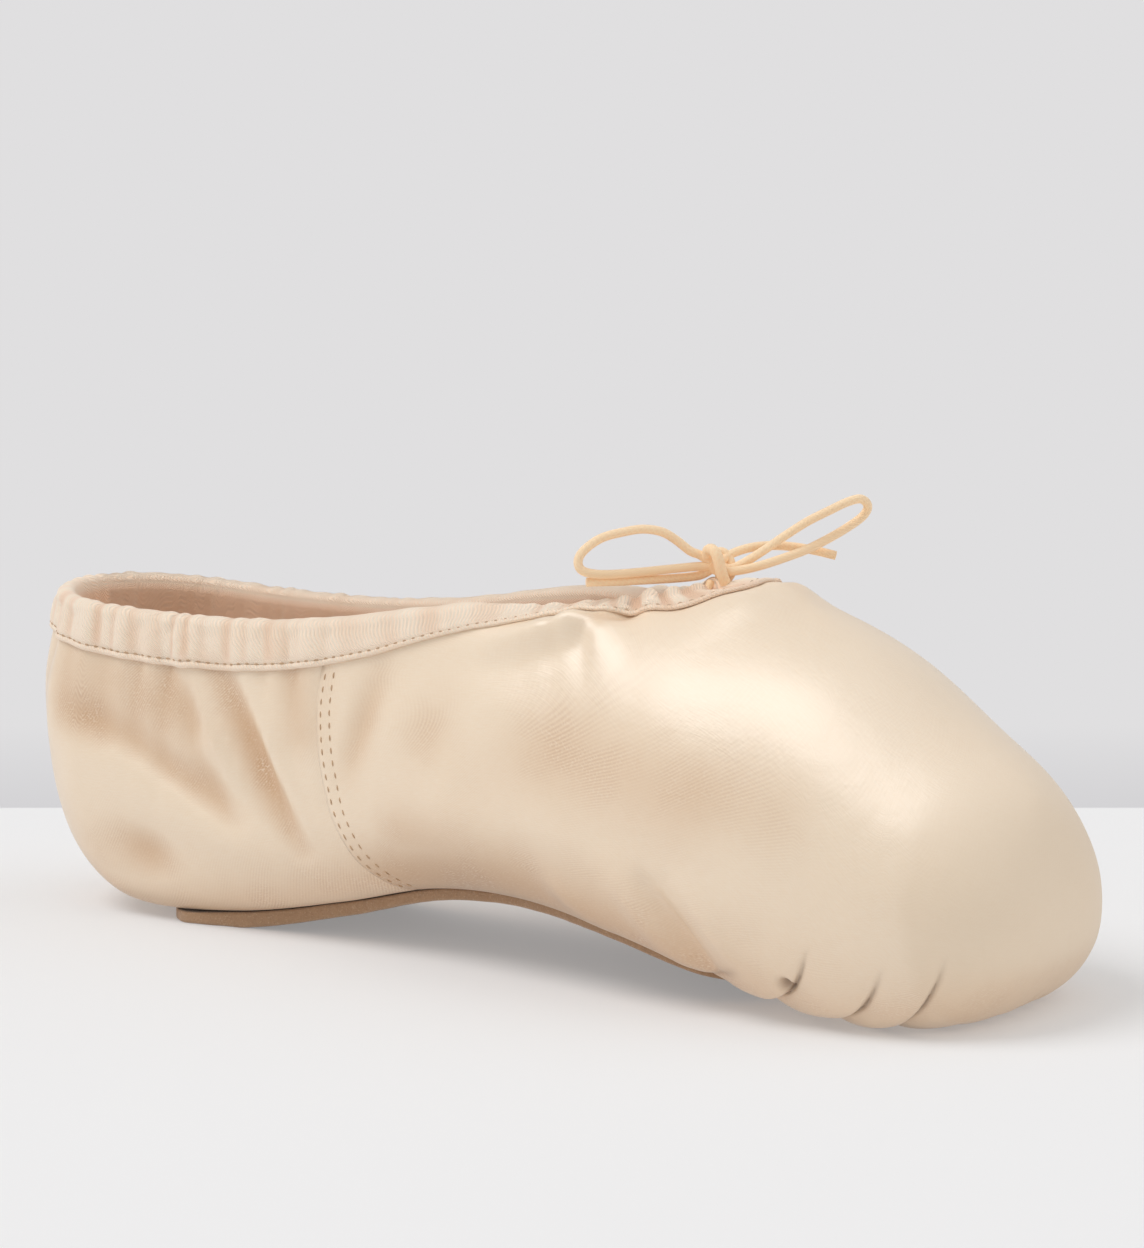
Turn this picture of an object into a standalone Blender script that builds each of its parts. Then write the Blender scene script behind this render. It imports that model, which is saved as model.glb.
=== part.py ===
"""A satin pointe shoe with its box, shank, linings, binding and drawstring bow.

Metres, +Z up. The shoe is modelled from the back of the heel (x = 0) to the tip of the
toe (x = LENGTH), is the same on both sides of the plane y = 0, and is carried by an empty
that centres it on the world origin. The pieces behind the side seams hang from a second
empty, which lies on the axis about which the shank flexes.
"""
import math

import bmesh
import bpy
import numpy as np
from mathutils import Vector
from mathutils.bvhtree import BVHTree

# Overall size
LENGTH = 0.236
GAP = 0.0003

# Thicknesses
SATIN = 0.0006
LINING = 0.0006
BOX_WALL = 0.0018
TAPE = 0.0007
BOARD = 0.0013
SHANK = 0.0022
SOCK = 0.0008
CORD = 0.00175

# Round ends of the last, seen from above
HEEL_REACH = 0.024
TOE_REACH = 0.034
HEEL_SQUARENESS = 2.1
TOE_SQUARENESS = 3.0

# The share of the rows below the widest place, and where the upright wall becomes a dome
SECTION_SPLIT = 0.42
WALL_END = 0.100
WALL_CHANGE = 0.045

# Opening
THROAT = 0.163
OPENING_ROUND = 0.038
DRAWSTRING_GAP = 0.0045
TAPE_REACH = 0.0066
TAPE_OUT = 0.0008
TAPE_IN = 0.0031
CHANNEL_RADIUS = 0.0018
CHANNEL_RISE = 0.0014
CHANNEL_DEPTH = (TAPE_IN - TAPE_OUT) / 2
EYELET = (0.0027, 0.0036, 0.006)
EYELET_RISE = 0.0022

# Box, platform, shank and axis of flexing
WING_START = 0.141
BOX_TOP_START = 0.182
PLATFORM_DEPTH = 0.0077
PLATFORM_THICKNESS = 0.0018
PLATFORM_HALF = (0.0150, 0.0068)
PLATFORM_HEIGHT = 0.0180
MARGIN = 0.009
HEEL_MARGIN = 0.019
HEEL_HUB = 0.040
PLEAT_HUB = 0.168
PLEAT_HOLE = 0.005
PLATFORM_CORNERS = 20
BOX_DEPTH = SATIN + 2 * GAP
LINING_DEPTH = SATIN + 1.5 * GAP
LINING_UNDER_BOX = BOX_WALL + 3 * GAP
LINING_UNDER_PLATFORM = 0.0060
FLEX_X = 0.110
FLEX_Z = 0.012

# Each flat layer of the bottom: its back and front ends, and how long their rounding is
SOLE_ENDS = (0.036, 0.188)
SOLE_ROUNDS = (0.014, 0.016)
BOARD_ENDS = (0.020, 0.198)
SOCK_ENDS = (0.020, 0.196)
BOARD_ROUNDS = (0.016, 0.018)
SHANK_ENDS = (0.022, 0.150)
SHANK_ROUNDS = (0.010, 0.010)
NARROWEST = 0.002
STRIP_CORNER = 0.0005

# How the layers stack over the feather edge, and how far in from it they end. Both grow from
# LAYERS_STEP_AT on, where the layers run inside the box.
BOARD_RISE = 0.0023
BOARD_INSET = 0.0024
LAYERS_STEP_AT = 0.118
LAYERS_STEP_OVER = 0.016
BOARD_RISE_IN_BOX = 0.0025
BOARD_INSET_IN_BOX = 0.0024
SHANK_INSET = 0.006
SOCK_INSET = 0.0006
SOCK_RISE = 0.0014

# Tacks
TACK_PLACES = (0.040, 0.054)
TACK_RADIUS = 0.0007
TACK_HEAD = (0.0022, 0.0016, 0.0006)
TACK_FOOT = 0.0016
TACK_CLEARANCE = 0.0005
TACK_HOLE_RADIUS = 0.0011
TACK_HOLE_DEPTH = 0.020

# Each table lists (distance from the heel, value) at a few named places along the last.
# TOP_HEIGHT is the topline's, and RIDGE_HEIGHT that of the dome which the opening is cut from.
FEATHER_HEIGHT = [
    (0.000, 0.0100), (0.016, 0.0075), (0.032, 0.0036), (0.062, 0.0036), (0.087, 0.0080),
    (0.110, 0.0132), (0.132, 0.0142), (0.157, 0.0113), (0.178, 0.0068), (0.202, 0.0015),
    (0.216, 0.0000), (0.226, 0.0003), (0.236, 0.0020),
]
TOP_HEIGHT = [
    (0.000, 0.0650), (0.022, 0.0623), (0.047, 0.0610), (0.072, 0.0612), (0.097, 0.0638),
    (0.122, 0.0688), (0.147, 0.0710), (0.163, 0.0722), (0.172, 0.0718), (0.182, 0.0695),
    (0.197, 0.0618), (0.213, 0.0498), (0.227, 0.0405), (0.236, 0.0320),
]
RIDGE_HEIGHT = [
    (0.122, 0.0803), (0.147, 0.0755), (0.163, 0.0738), (0.172, 0.0739), (0.182, 0.0718),
    (0.197, 0.0654), (0.213, 0.0537), (0.227, 0.0433), (0.236, 0.0336),
]
HALF_WIDTH = [
    (0.000, 0.0282), (0.052, 0.0290), (0.087, 0.0290), (0.107, 0.0304), (0.127, 0.0340),
    (0.152, 0.0382), (0.172, 0.0402), (0.192, 0.0402), (0.212, 0.0376), (0.236, 0.0342),
]
FEATHER_HALF_WIDTH = [
    (0.000, 0.0215), (0.042, 0.0231), (0.077, 0.0198), (0.102, 0.0185), (0.132, 0.0210),
    (0.162, 0.0270), (0.187, 0.0288), (0.212, 0.0272), (0.236, 0.0243),
]
WIDEST_SHARE = [(0.000, 0.42), (0.062, 0.36), (0.112, 0.36), (0.162, 0.40), (0.202, 0.45)]
OPENING_HALF_WIDTH = [(0.000, 0.0250), (0.032, 0.0255), (0.092, 0.0245), (0.163, 0.0205)]
SOLE_HALF_WIDTH = [
    (0.036, 0.0205), (0.048, 0.0245), (0.060, 0.0222), (0.078, 0.0187), (0.102, 0.0172),
    (0.127, 0.0190), (0.150, 0.0238), (0.168, 0.0262), (0.188, 0.0240),
]
SOLE_THICKNESS = [(0.032, 0.0033), (0.062, 0.0033), (0.112, 0.0024), (0.188, 0.0021)]
# Retreat of the heel and of the platform behind their foremost points, over the height
HEEL_PROFILE = [
    (0.0, 0.0165), (0.12, 0.0098), (0.3, 0.0036), (0.5, 0.0), (0.75, 0.0006), (1.0, 0.0036),
]
TOE_PROFILE = [
    (0.0, 0.0140), (0.12, 0.0070), (0.3, 0.0012), (0.5, 0.0), (0.75, 0.0022), (1.0, 0.0070),
]
# Side seam between quarter and vamp, over the height
SEAM = [
    (0.0, 0.1045), (0.1, 0.1025), (0.3, 0.0948), (0.5, 0.0885), (0.7, 0.0858), (1.0, 0.0868),
]

# The grid of the last: rows round the section and columns along it
MARGIN_ROWS = [-1.0, -0.5]
SIDE_ROWS = [0.0, 0.08, 0.17, 0.27, 0.38, 0.5, 0.62, 0.73, 0.82, 0.89, 0.95, 1.0]
QUARTER_COLUMNS = 12
VAMP_BODY_COLUMNS = 14
FORE_SHARES = np.array([0.16, 0.34, 0.55, 0.77, 1.0])
TOE_COLUMNS = 8
BOX_BODY_COLUMNS = 8

# The bow: where the drawstring leaves its channel, how its two ends rise, the knot and the
# routes of the loops and tails, from the knot outward
BOW_EXIT = Vector((0.1614, 0.0, 0.0729))
EXIT_RISE = [
    (0.0034, 0.0001), (0.0022, 0.0006), (0.0014, 0.0014), (0.0011, 0.0022), (0.0011, 0.0029),
]
KNOT = Vector((0.1618, 0.0, 0.0790))
KNOT_HALF = (0.0019, 0.0019, 0.0027)
BOW_ROUTES = {
    "bow_loop_right": [
        (0.1593, -0.0015, 0.0803), (0.1578, -0.0030, 0.0812), (0.1558, -0.0048, 0.0833),
        (0.1540, -0.0070, 0.0853), (0.1516, -0.0098, 0.0860), (0.1490, -0.0130, 0.0855),
        (0.1464, -0.0162, 0.0840), (0.1444, -0.0187, 0.0820), (0.1436, -0.0199, 0.0800),
        (0.1442, -0.0197, 0.0781), (0.1462, -0.0179, 0.0773), (0.1488, -0.0148, 0.0772),
        (0.1515, -0.0112, 0.0774), (0.1542, -0.0078, 0.0777), (0.1570, -0.0044, 0.0780),
        (0.1591, -0.0020, 0.0782),
    ],
    "bow_tail_right": [
        (0.1590, -0.0007, 0.0765), (0.1571, -0.0026, 0.0761), (0.1546, -0.0058, 0.0759),
        (0.1518, -0.0094, 0.0758), (0.1490, -0.0130, 0.0757), (0.1464, -0.0162, 0.0757),
        (0.1444, -0.0183, 0.0757),
    ],
    "bow_loop_left": [
        (0.1642, 0.0018, 0.0778), (0.1659, 0.0042, 0.0790), (0.1680, 0.0076, 0.0812),
        (0.1702, 0.0116, 0.0839), (0.1726, 0.0157, 0.0865), (0.1751, 0.0195, 0.0885),
        (0.1775, 0.0227, 0.0899), (0.1794, 0.0246, 0.0903), (0.1804, 0.0251, 0.0892),
        (0.1802, 0.0241, 0.0873), (0.1789, 0.0211, 0.0851), (0.1768, 0.0170, 0.0831),
        (0.1744, 0.0126, 0.0812), (0.1719, 0.0083, 0.0797), (0.1695, 0.0044, 0.0785),
        (0.1668, 0.0012, 0.0776), (0.1643, -0.0010, 0.0771),
    ],
    "bow_tail_left": [
        (0.1626, 0.0028, 0.0800), (0.1638, 0.0062, 0.0810), (0.1654, 0.0098, 0.0815),
        (0.1676, 0.0132, 0.0815), (0.1703, 0.0160, 0.0811), (0.1734, 0.0182, 0.0804),
        (0.1764, 0.0203, 0.0795),
    ],
}

COLOURS = {
    "satin": ((0.80, 0.64, 0.48, 1), 0.30, 0.0),
    "twill": ((0.62, 0.40, 0.24, 1), 0.85, 0.0),
    "tape": ((0.75, 0.56, 0.42, 1), 0.80, 0.0),
    "cord": ((0.82, 0.60, 0.40, 1), 0.75, 0.0),
    "leather": ((0.22, 0.13, 0.08, 1), 0.80, 0.0),
    "board": ((0.50, 0.38, 0.26, 1), 0.90, 0.0),
    "shank": ((0.36, 0.22, 0.13, 1), 0.75, 0.0),
    "box": ((0.62, 0.52, 0.40, 1), 0.85, 0.0),
    "brass": ((0.70, 0.52, 0.22, 1), 0.35, 1.0),
}


# ---------------------------------------------------------------- scene and materials

def clear_scene():
    for obj in list(bpy.data.objects):
        bpy.data.objects.remove(obj, do_unlink=True)


def material(name):
    found = bpy.data.materials.get(name)
    if found:
        return found
    colour, roughness, metallic = COLOURS[name]
    made = bpy.data.materials.new(name)
    made.use_nodes = True
    shader = made.node_tree.nodes["Principled BSDF"]
    shader.inputs["Base Color"].default_value = colour
    shader.inputs["Roughness"].default_value = roughness
    shader.inputs["Metallic"].default_value = metallic
    made.diffuse_color = colour
    return made


def collection(name, hidden=False):
    made = bpy.data.collections.new(name)
    bpy.context.scene.collection.children.link(made)
    made.hide_render = hidden
    return made


def empty(name, location, parent=None):
    made = bpy.data.objects.new(name, None)
    made.location = location
    made.parent = parent
    SHOE.objects.link(made)
    return made


def add(name, data, finish, axis=None):
    """Adds a piece whose data is in the shoe's coordinates, on the shoe or on the flex axis."""
    obj = bpy.data.objects.new(name, data)
    obj.parent = axis or FRAME
    if axis:
        obj.location = -axis.location
    SHOE.objects.link(obj)
    data.materials.append(material(finish))
    return obj


def cutter(name, mesh):
    obj = bpy.data.objects.new(name, mesh)
    obj.parent = FRAME
    obj.hide_render = True
    obj.display_type = "WIRE"
    CUTTERS.objects.link(obj)
    return obj


# ---------------------------------------------------------------- the last's surface

def through(table, at):
    """A smooth curve through the table's points, level with its ends outside them."""
    places, values = np.array(table, float).T
    at = np.clip(np.asarray(at, float), places[0], places[-1])
    step = np.diff(places)
    slope = np.diff(values) / step
    tangent = np.empty_like(values)
    tangent[1:-1] = (slope[:-1] * step[1:] + slope[1:] * step[:-1]) / (step[:-1] + step[1:])
    tangent[0] = 1.5 * slope[0] - 0.5 * tangent[1]
    tangent[-1] = 1.5 * slope[-1] - 0.5 * tangent[-2]
    i = np.clip(np.searchsorted(places, at) - 1, 0, len(step) - 1)
    t = (at - places[i]) / step[i]
    rise = t * t * (3 - 2 * t)
    bend = t * (1 - t) ** 2 * tangent[i] - t * t * (1 - t) * tangent[i + 1]
    return values[i] * (1 - rise) + values[i + 1] * rise + step[i] * bend


def ease(t):
    t = np.clip(t, 0, 1)
    return t * t * (3 - 2 * t)


def bezier(a, b, c, d, t):
    return a * (1 - t) ** 3 + 3 * b * t * (1 - t) ** 2 + 3 * c * t * t * (1 - t) + d * t ** 3


# Half width over the dome's section, as a share of its widest
DOME_STEPS = np.linspace(0, 1, 400)
DOME_WIDTH = bezier(1, 1, 0.56, 0, DOME_STEPS)


def opening_half_width(x):
    left = np.clip((THROAT - x) / OPENING_ROUND, 0, 1)
    return through(OPENING_HALF_WIDTH, x) * np.sqrt(1 - (1 - left) ** 2)


def dome_height(t):
    """Height over the dome's section, from its widest place (t = 0) to its ridge (1)."""
    return bezier(0, 0.55, 1, 1, t)


def section(x, v):
    """(y, z) on the section at x: v = 0 at the feather edge, 1 at the topline or the ridge."""
    base = through(FEATHER_HEIGHT, x)
    height = through(TOP_HEIGHT, x) - base
    wide = through(HALF_WIDTH, x)
    wide_z = through(WIDEST_SHARE, x) * height
    feather = through(FEATHER_HALF_WIDTH, x)
    top = opening_half_width(x)
    low = np.clip(v / SECTION_SPLIT, 0, 1)
    high = np.clip((v - SECTION_SPLIT) / (1 - SECTION_SPLIT), 0, 1)
    rise = height - wide_z
    y_low = bezier(feather, feather + 0.62 * (wide - feather), wide, wide, low)
    z_low = bezier(0, 0.02 * wide_z, 0.45 * wide_z, wide_z, low)
    # Over the heel the wall stands up. Over the instep it is a dome, cut at the topline.
    y_wall = bezier(wide, wide, top + 0.10 * (wide - top), top, high)
    z_wall = bezier(wide_z, wide_z + 0.55 * rise, wide_z + 0.65 * rise, height, high)
    cut = np.interp(-top / wide, -DOME_WIDTH, DOME_STEPS)
    # Rows low on the dome pass the throat without a jog, and those at the topline follow it.
    power = np.clip(0.7 / np.maximum(1 - cut, 1e-6) - 1, 0, 4)
    along = high * (1 - (1 - cut) * high ** power)
    y_dome = wide * np.interp(along, DOME_STEPS, DOME_WIDTH)
    z_dome = wide_z + (through(RIDGE_HEIGHT, x) - base - wide_z) * dome_height(along)
    dome = ease((x - WALL_END) / WALL_CHANGE)
    y_high = y_wall + (y_dome - y_wall) * dome
    z_high = z_wall + (z_dome - z_wall) * dome
    lower = v < SECTION_SPLIT
    return np.where(lower, y_low, y_high), base + np.where(lower, z_low, z_high)


def round_end(angle, squareness):
    """(advance, half width) of a superellipse end, from its tip (0) to its side (pi / 2)."""
    cos = np.cos(angle)
    sin = np.sin(angle)
    radius = (np.abs(cos) ** squareness + np.abs(sin) ** squareness) ** (-1 / squareness)
    return 1 - radius * cos, radius * sin


def side_ends(v):
    """Where the straight part of the row at v starts and ends."""
    return through(HEEL_PROFILE, v) + HEEL_REACH, LENGTH - through(TOE_PROFILE, v) - TOE_REACH


def last_point(u, v):
    """A point of the last's side. u runs 0-1 round the heel, 1-2 along and 2-3 round the toe."""
    u, v = np.broadcast_arrays(np.asarray(u, float), np.asarray(v, float))
    start, end = side_ends(v)
    heel_x, heel_k = round_end(np.clip(u, -1, 1) * math.pi / 2, HEEL_SQUARENESS)
    toe_x, toe_k = round_end(np.clip(3 - u, -1, 1) * math.pi / 2, TOE_SQUARENESS)
    straight = start + (end - start) * (u - 1)
    x = np.where(u < 1, start - HEEL_REACH * (1 - heel_x), straight)
    x = np.where(u > 2, end + TOE_REACH * (1 - toe_x), x)
    k = np.where(u < 1, heel_k, np.where(u > 2, toe_k, 1.0))
    y, z = section(x, v)
    return np.stack([x, y * k, z], -1)


def margin_point(u, v):
    """A point of the turned-in margin: v = 0 at the feather edge, -1 at its inner edge."""
    edge = last_point(u, 0.0)
    centre = np.stack([np.clip(edge[..., 0], HEEL_HUB, PLEAT_HUB), 0 * edge[..., 0]], -1)
    outward = edge[..., :2] - centre
    reach = np.maximum(np.linalg.norm(outward, axis=-1), 1e-6)
    gathered = ease((edge[..., 0] - 0.142) / 0.030)
    margin = HEEL_MARGIN + (MARGIN - HEEL_MARGIN) * ease((edge[..., 0] - 0.015) / 0.030)
    inner = (reach - margin) * (1 - gathered) + PLEAT_HOLE * gathered
    share = (1 + v * (1 - inner / reach))[..., None]
    flat = centre + outward * share
    return np.concatenate([flat, through(FEATHER_HEIGHT, flat[..., :1])], -1)


def surface(u, v):
    u, v = np.broadcast_arrays(np.asarray(u, float), np.asarray(v, float))
    side = last_point(u, np.clip(v, 0, 1))
    under = margin_point(u, np.clip(v, -1, 0))
    return np.where(v[..., None] < 0, under, side)


def normals(u, v):
    """Outward directions of the surface, by central differences."""
    u, v = np.broadcast_arrays(np.asarray(u, float), np.asarray(v, float))
    step = 0.01
    along = surface(u + step, v) - surface(u - step, v)
    around = surface(u, np.minimum(v + step, 1)) - surface(u, np.maximum(v - step, -1))
    # Past the ridge in front of the throat the last is mirrored, so it is level across there.
    ridge = (u > 1) & (v > 1 - step) & (surface(u, 1.0)[..., 1] < 1e-5)
    around[ridge] = [0.0, -1.0, 0.0]
    # At the middle of the heel and of the toe the last's outline runs straight across.
    along[u < 1e-6] = [0.0, 1.0, 0.0]
    along[(u > 3 - 1e-6) & ~ridge] = [0.0, -1.0, 0.0]
    corner = (u > 3 - 1e-6) & ridge
    along[corner] = (surface(u, v) - surface(u - step, v))[corner]
    out = np.cross(along, around)
    flat = surface(u, v)[..., 1] < 1e-6
    out[flat, 1] = 0.0
    out /= np.maximum(np.linalg.norm(out, axis=-1, keepdims=True), 1e-12)
    return -out


def inside(u, v, depth):
    return surface(u, v) - normals(u, v) * np.asarray(depth, float)[..., None]


def column_at(x, v):
    start, end = side_ends(np.clip(v, 0, 1))
    return 1 + (x - start) / (end - start)


# ---------------------------------------------------------------- mesh builders

def grid_mesh(name, points):
    """An open sheet over a grid of points, with facing sides outward."""
    rows, columns = points.shape[:2]
    faces = [
        (r * columns + c, (r + 1) * columns + c, (r + 1) * columns + c + 1, r * columns + c + 1)
        for r in range(rows - 1)
        for c in range(columns - 1)
    ]
    mesh = bpy.data.meshes.new(name)
    mesh.from_pydata(points.reshape(-1, 3).tolist(), [], faces)
    mesh.update()
    return mesh


def modifier(obj, kind, **settings):
    made = obj.modifiers.new(kind.title(), kind)
    for key, value in settings.items():
        setattr(made, key, value)
    return made


def shell(name, points, thickness, finish, axis=None, mirrored=True, offset=-1.0):
    mesh = grid_mesh(name, points)
    mesh.shade_smooth()
    obj = add(name, mesh, finish, axis)
    if mirrored:
        modifier(obj, "MIRROR", use_axis=(False, True, False), merge_threshold=1e-5)
    modifier(obj, "SOLIDIFY", thickness=thickness, offset=offset, use_even_offset=True)
    return obj


def strip(name, places, half_width, low, high, finish):
    """A flat, bent strip: closed rings across it at each place, joined by faces."""
    rings = []
    for x, half in zip(places, half_width):
        bottom = float(low(x))
        top = float(high(x))
        corner = min(STRIP_CORNER, 0.3 * (top - bottom))
        rings.append([
            (x, half - corner, bottom), (x, half, bottom + corner), (x, half, top - corner),
            (x, half - corner, top), (x, corner - half, top), (x, -half, top - corner),
            (x, -half, bottom + corner), (x, corner - half, bottom),
        ])
    count = len(rings[0])
    last = (len(rings) - 1) * count
    faces = [tuple(range(count)), tuple(reversed(range(last, last + count)))]
    for i in range(len(rings) - 1):
        for j in range(count):
            k = (j + 1) % count
            faces.append((i * count + j, (i + 1) * count + j, (i + 1) * count + k, i * count + k))
    mesh = bpy.data.meshes.new(name)
    mesh.from_pydata([point for ring in rings for point in ring], [], faces)
    mesh.update()
    work = bmesh.new()
    work.from_mesh(mesh)
    bmesh.ops.recalc_face_normals(work, faces=work.faces)
    work.to_mesh(mesh)
    work.free()
    return add(name, mesh, finish)


def round_strip_plan(ends, width, count, rounds):
    """Places along a strip and its half widths there, closed by a round end at each side."""
    start, end = ends
    turn = 0.5 - 0.5 * np.cos(np.linspace(0, math.pi, count))
    places = start + (end - start) * turn
    back = np.clip((places - start) / rounds[0], 0, 1)
    front = np.clip((end - places) / rounds[1], 0, 1)
    closing = np.sqrt(1 - (1 - back) ** 2) * np.sqrt(1 - (1 - front) ** 2)
    return places, np.maximum(width(places) * closing, NARROWEST)


def smooth_route(points, spacing):
    """Points a set distance apart on a smooth curve through the route's own points."""
    route = np.array(points, float)
    padded = np.vstack([2 * route[0] - route[1], route, 2 * route[-1] - route[-2]])
    dense = []
    for a, b, c, d in zip(padded, padded[1:], padded[2:], padded[3:]):
        for t in np.linspace(0, 1, 24, endpoint=False):
            dense.append(
                0.5 * (2 * b + (c - a) * t + (2 * a - 5 * b + 4 * c - d) * t ** 2
                       + (3 * b - 3 * c + d - a) * t ** 3)
            )
    dense = np.array(dense + [route[-1]])
    reach = np.concatenate([[0], np.cumsum(np.linalg.norm(np.diff(dense, axis=0), axis=1))])
    count = max(2, round(reach[-1] / spacing) + 1)
    even = np.linspace(0, reach[-1], count)
    return np.stack([np.interp(even, reach, dense[:, i]) for i in range(3)], -1)


def cone_mesh(name, centre, low_radius, high_radius, depth, segments=12, scale=(1, 1, 1)):
    work = bmesh.new()
    bmesh.ops.create_cone(work, cap_ends=True, segments=segments, radius1=low_radius,
                          radius2=high_radius, depth=depth)
    bmesh.ops.scale(work, verts=work.verts, vec=scale)
    bmesh.ops.translate(work, verts=work.verts, vec=centre)
    mesh = bpy.data.meshes.new(name)
    work.to_mesh(mesh)
    work.free()
    return mesh


def tube(name, points, diameter, finish):
    curve = bpy.data.curves.new(name, "CURVE")
    curve.dimensions = "3D"
    curve.bevel_depth = diameter / 2
    curve.bevel_resolution = 2
    curve.use_fill_caps = True
    spline = curve.splines.new("POLY")
    spline.points.add(len(points) - 1)
    for place, point in zip(spline.points, points):
        place.co = (*point, 1)
    return add(name, curve, finish)


# ---------------------------------------------------------------- upper

def box_start(v):
    """The rear edge of the box: long wings low down, short over the instep."""
    return WING_START + (BOX_TOP_START - WING_START) * ease(v)


def lining_depth(x, u, v):
    """The lining lies under the satin, and under the box where there is one."""
    over_box = ease((x - box_start(v) + 0.009) / 0.007)
    over_platform = ease((u - 2.35) / 0.5) * ease(v / 0.2)
    return LINING_DEPTH + over_box * LINING_UNDER_BOX + over_platform * LINING_UNDER_PLATFORM


def quarter_grid(rows):
    """Columns from the back of the heel to the side seam."""
    seam = column_at(through(SEAM, np.clip(rows, 0, 1)) - GAP / 2, rows)
    share = np.linspace(0, 1, QUARTER_COLUMNS) ** 1.1
    return seam[:, None] * share[None, :], np.repeat(rows[:, None], QUARTER_COLUMNS, 1)


def vamp_grid(rows):
    """Columns from the side seam to the middle of the toe, close together at the throat."""
    seam = column_at(through(SEAM, np.clip(rows, 0, 1)) + GAP / 2, rows)
    throat = column_at(THROAT, rows)
    rear = np.sin(np.linspace(0, math.pi / 2, VAMP_BODY_COLUMNS - 2))
    body = seam[:, None] + (throat - seam)[:, None] * rear[None, :]
    fore = throat[:, None] + (2 - throat)[:, None] * FORE_SHARES[None, :]
    toe = np.linspace(2, 3, TOE_COLUMNS)[1:]
    columns = np.hstack([body, fore, np.repeat(toe[None, :], len(rows), 0)])
    return columns, np.repeat(rows[:, None], columns.shape[1], 1)


def one_side(points, side):
    """The grid as it is for side +1, or mirrored for side -1 with its columns turned round."""
    if side > 0:
        return points
    return (points * [1, -1, 1])[:, ::-1]


def make_quarters(rows):
    u, v = quarter_grid(rows)
    for side, word in ((1, "left"), (-1, "right")):
        for kind, depth, thickness, finish in (
            ("satin", 0.0, SATIN, "satin"),
            ("lining", LINING_DEPTH, LINING, "twill"),
        ):
            points = inside(u, v, np.full(u.shape, depth))
            points[:, 0, 1] = GAP / 2
            # The first columns keep half the back seam's gap from the middle plane.
            points[..., 1] = np.maximum(points[..., 1], GAP / 2)
            shell(f"quarter_{kind}_{word}", one_side(points, side), thickness, finish,
                  axis=FLEX_AXIS, mirrored=False)


def make_vamp(rows):
    u, v = vamp_grid(rows)
    shell("vamp_satin", inside(u, v, np.zeros(u.shape)), SATIN, "satin")
    x = surface(u, v)[..., 0]
    shell("vamp_lining", inside(u, v, lining_depth(x, u, v)), LINING, "twill")


def make_box(rows):
    start = column_at(box_start(np.clip(rows, 0, 1)), rows)
    body = start[:, None] + (2 - start)[:, None] * np.linspace(0, 1, BOX_BODY_COLUMNS)[None, :]
    toe = np.repeat(np.linspace(2, 3, TOE_COLUMNS)[None, 1:], len(rows), 0)
    u = np.hstack([body, toe])
    v = np.repeat(rows[:, None], u.shape[1], 1)
    shell("toe_box", inside(u, v, np.full(u.shape, BOX_DEPTH)), BOX_WALL, "box")


def make_platform():
    curve = bpy.data.curves.new("platform_disc", "CURVE")
    curve.dimensions = "2D"
    curve.fill_mode = "BOTH"
    curve.extrude = PLATFORM_THICKNESS / 2
    spline = curve.splines.new("POLY")
    spline.points.add(PLATFORM_CORNERS - 1)
    for i, place in enumerate(spline.points):
        angle = 2 * math.pi * i / PLATFORM_CORNERS
        place.co = (PLATFORM_HALF[0] * math.cos(angle), PLATFORM_HALF[1] * math.sin(angle), 0, 1)
    spline.use_cyclic_u = True
    disc = add("platform_disc", curve, "board")
    disc.location = (LENGTH - PLATFORM_DEPTH, 0, PLATFORM_HEIGHT)
    disc.rotation_euler = (math.pi / 2, 0, math.pi / 2)


# ---------------------------------------------------------------- sole and insole

def sole_top(x):
    return through(FEATHER_HEIGHT, x) - GAP


def sole_low(x):
    return np.maximum(sole_top(x) - through(SOLE_THICKNESS, x), 0.0)


def sole_half_width(x):
    return through(SOLE_HALF_WIDTH, x)


def inside_box(x):
    """0 behind the box and 1 inside it."""
    return ease((x - LAYERS_STEP_AT) / LAYERS_STEP_OVER)


def board_low(x):
    """The board lies on the lining's margin, which is deeper inside the box."""
    return through(FEATHER_HEIGHT, x) + BOARD_RISE + BOARD_RISE_IN_BOX * inside_box(x)


def board_top(x):
    return board_low(x) + BOARD


def shank_low(x):
    return board_top(x) + GAP


def shank_top(x):
    return shank_low(x) + SHANK


def sock_low(x):
    return shank_top(x) + SOCK_RISE


def sock_top(x):
    return sock_low(x) + SOCK


def board_half_width(x):
    return through(FEATHER_HALF_WIDTH, x) - BOARD_INSET - BOARD_INSET_IN_BOX * inside_box(x)


def shank_half_width(x):
    return board_half_width(x) - SHANK_INSET


def sock_half_width(x):
    return board_half_width(x) - SOCK_INSET


def make_sole():
    places, widths = round_strip_plan(SOLE_ENDS, sole_half_width, 27, SOLE_ROUNDS)
    sole = strip("outsole", places, widths, sole_low, sole_top, "leather")
    places, widths = round_strip_plan(BOARD_ENDS, board_half_width, 23, BOARD_ROUNDS)
    board = strip("insole_board", places, widths, board_low, board_top, "board")
    places, widths = round_strip_plan(SHANK_ENDS, shank_half_width, 17, SHANK_ROUNDS)
    shank = strip("shank", places, widths, shank_low, shank_top, "shank")
    places, widths = round_strip_plan(SOCK_ENDS, sock_half_width, 23, BOARD_ROUNDS)
    strip("sock_lining", places, widths, sock_low, sock_top, "twill")
    return sole, board, shank


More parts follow.
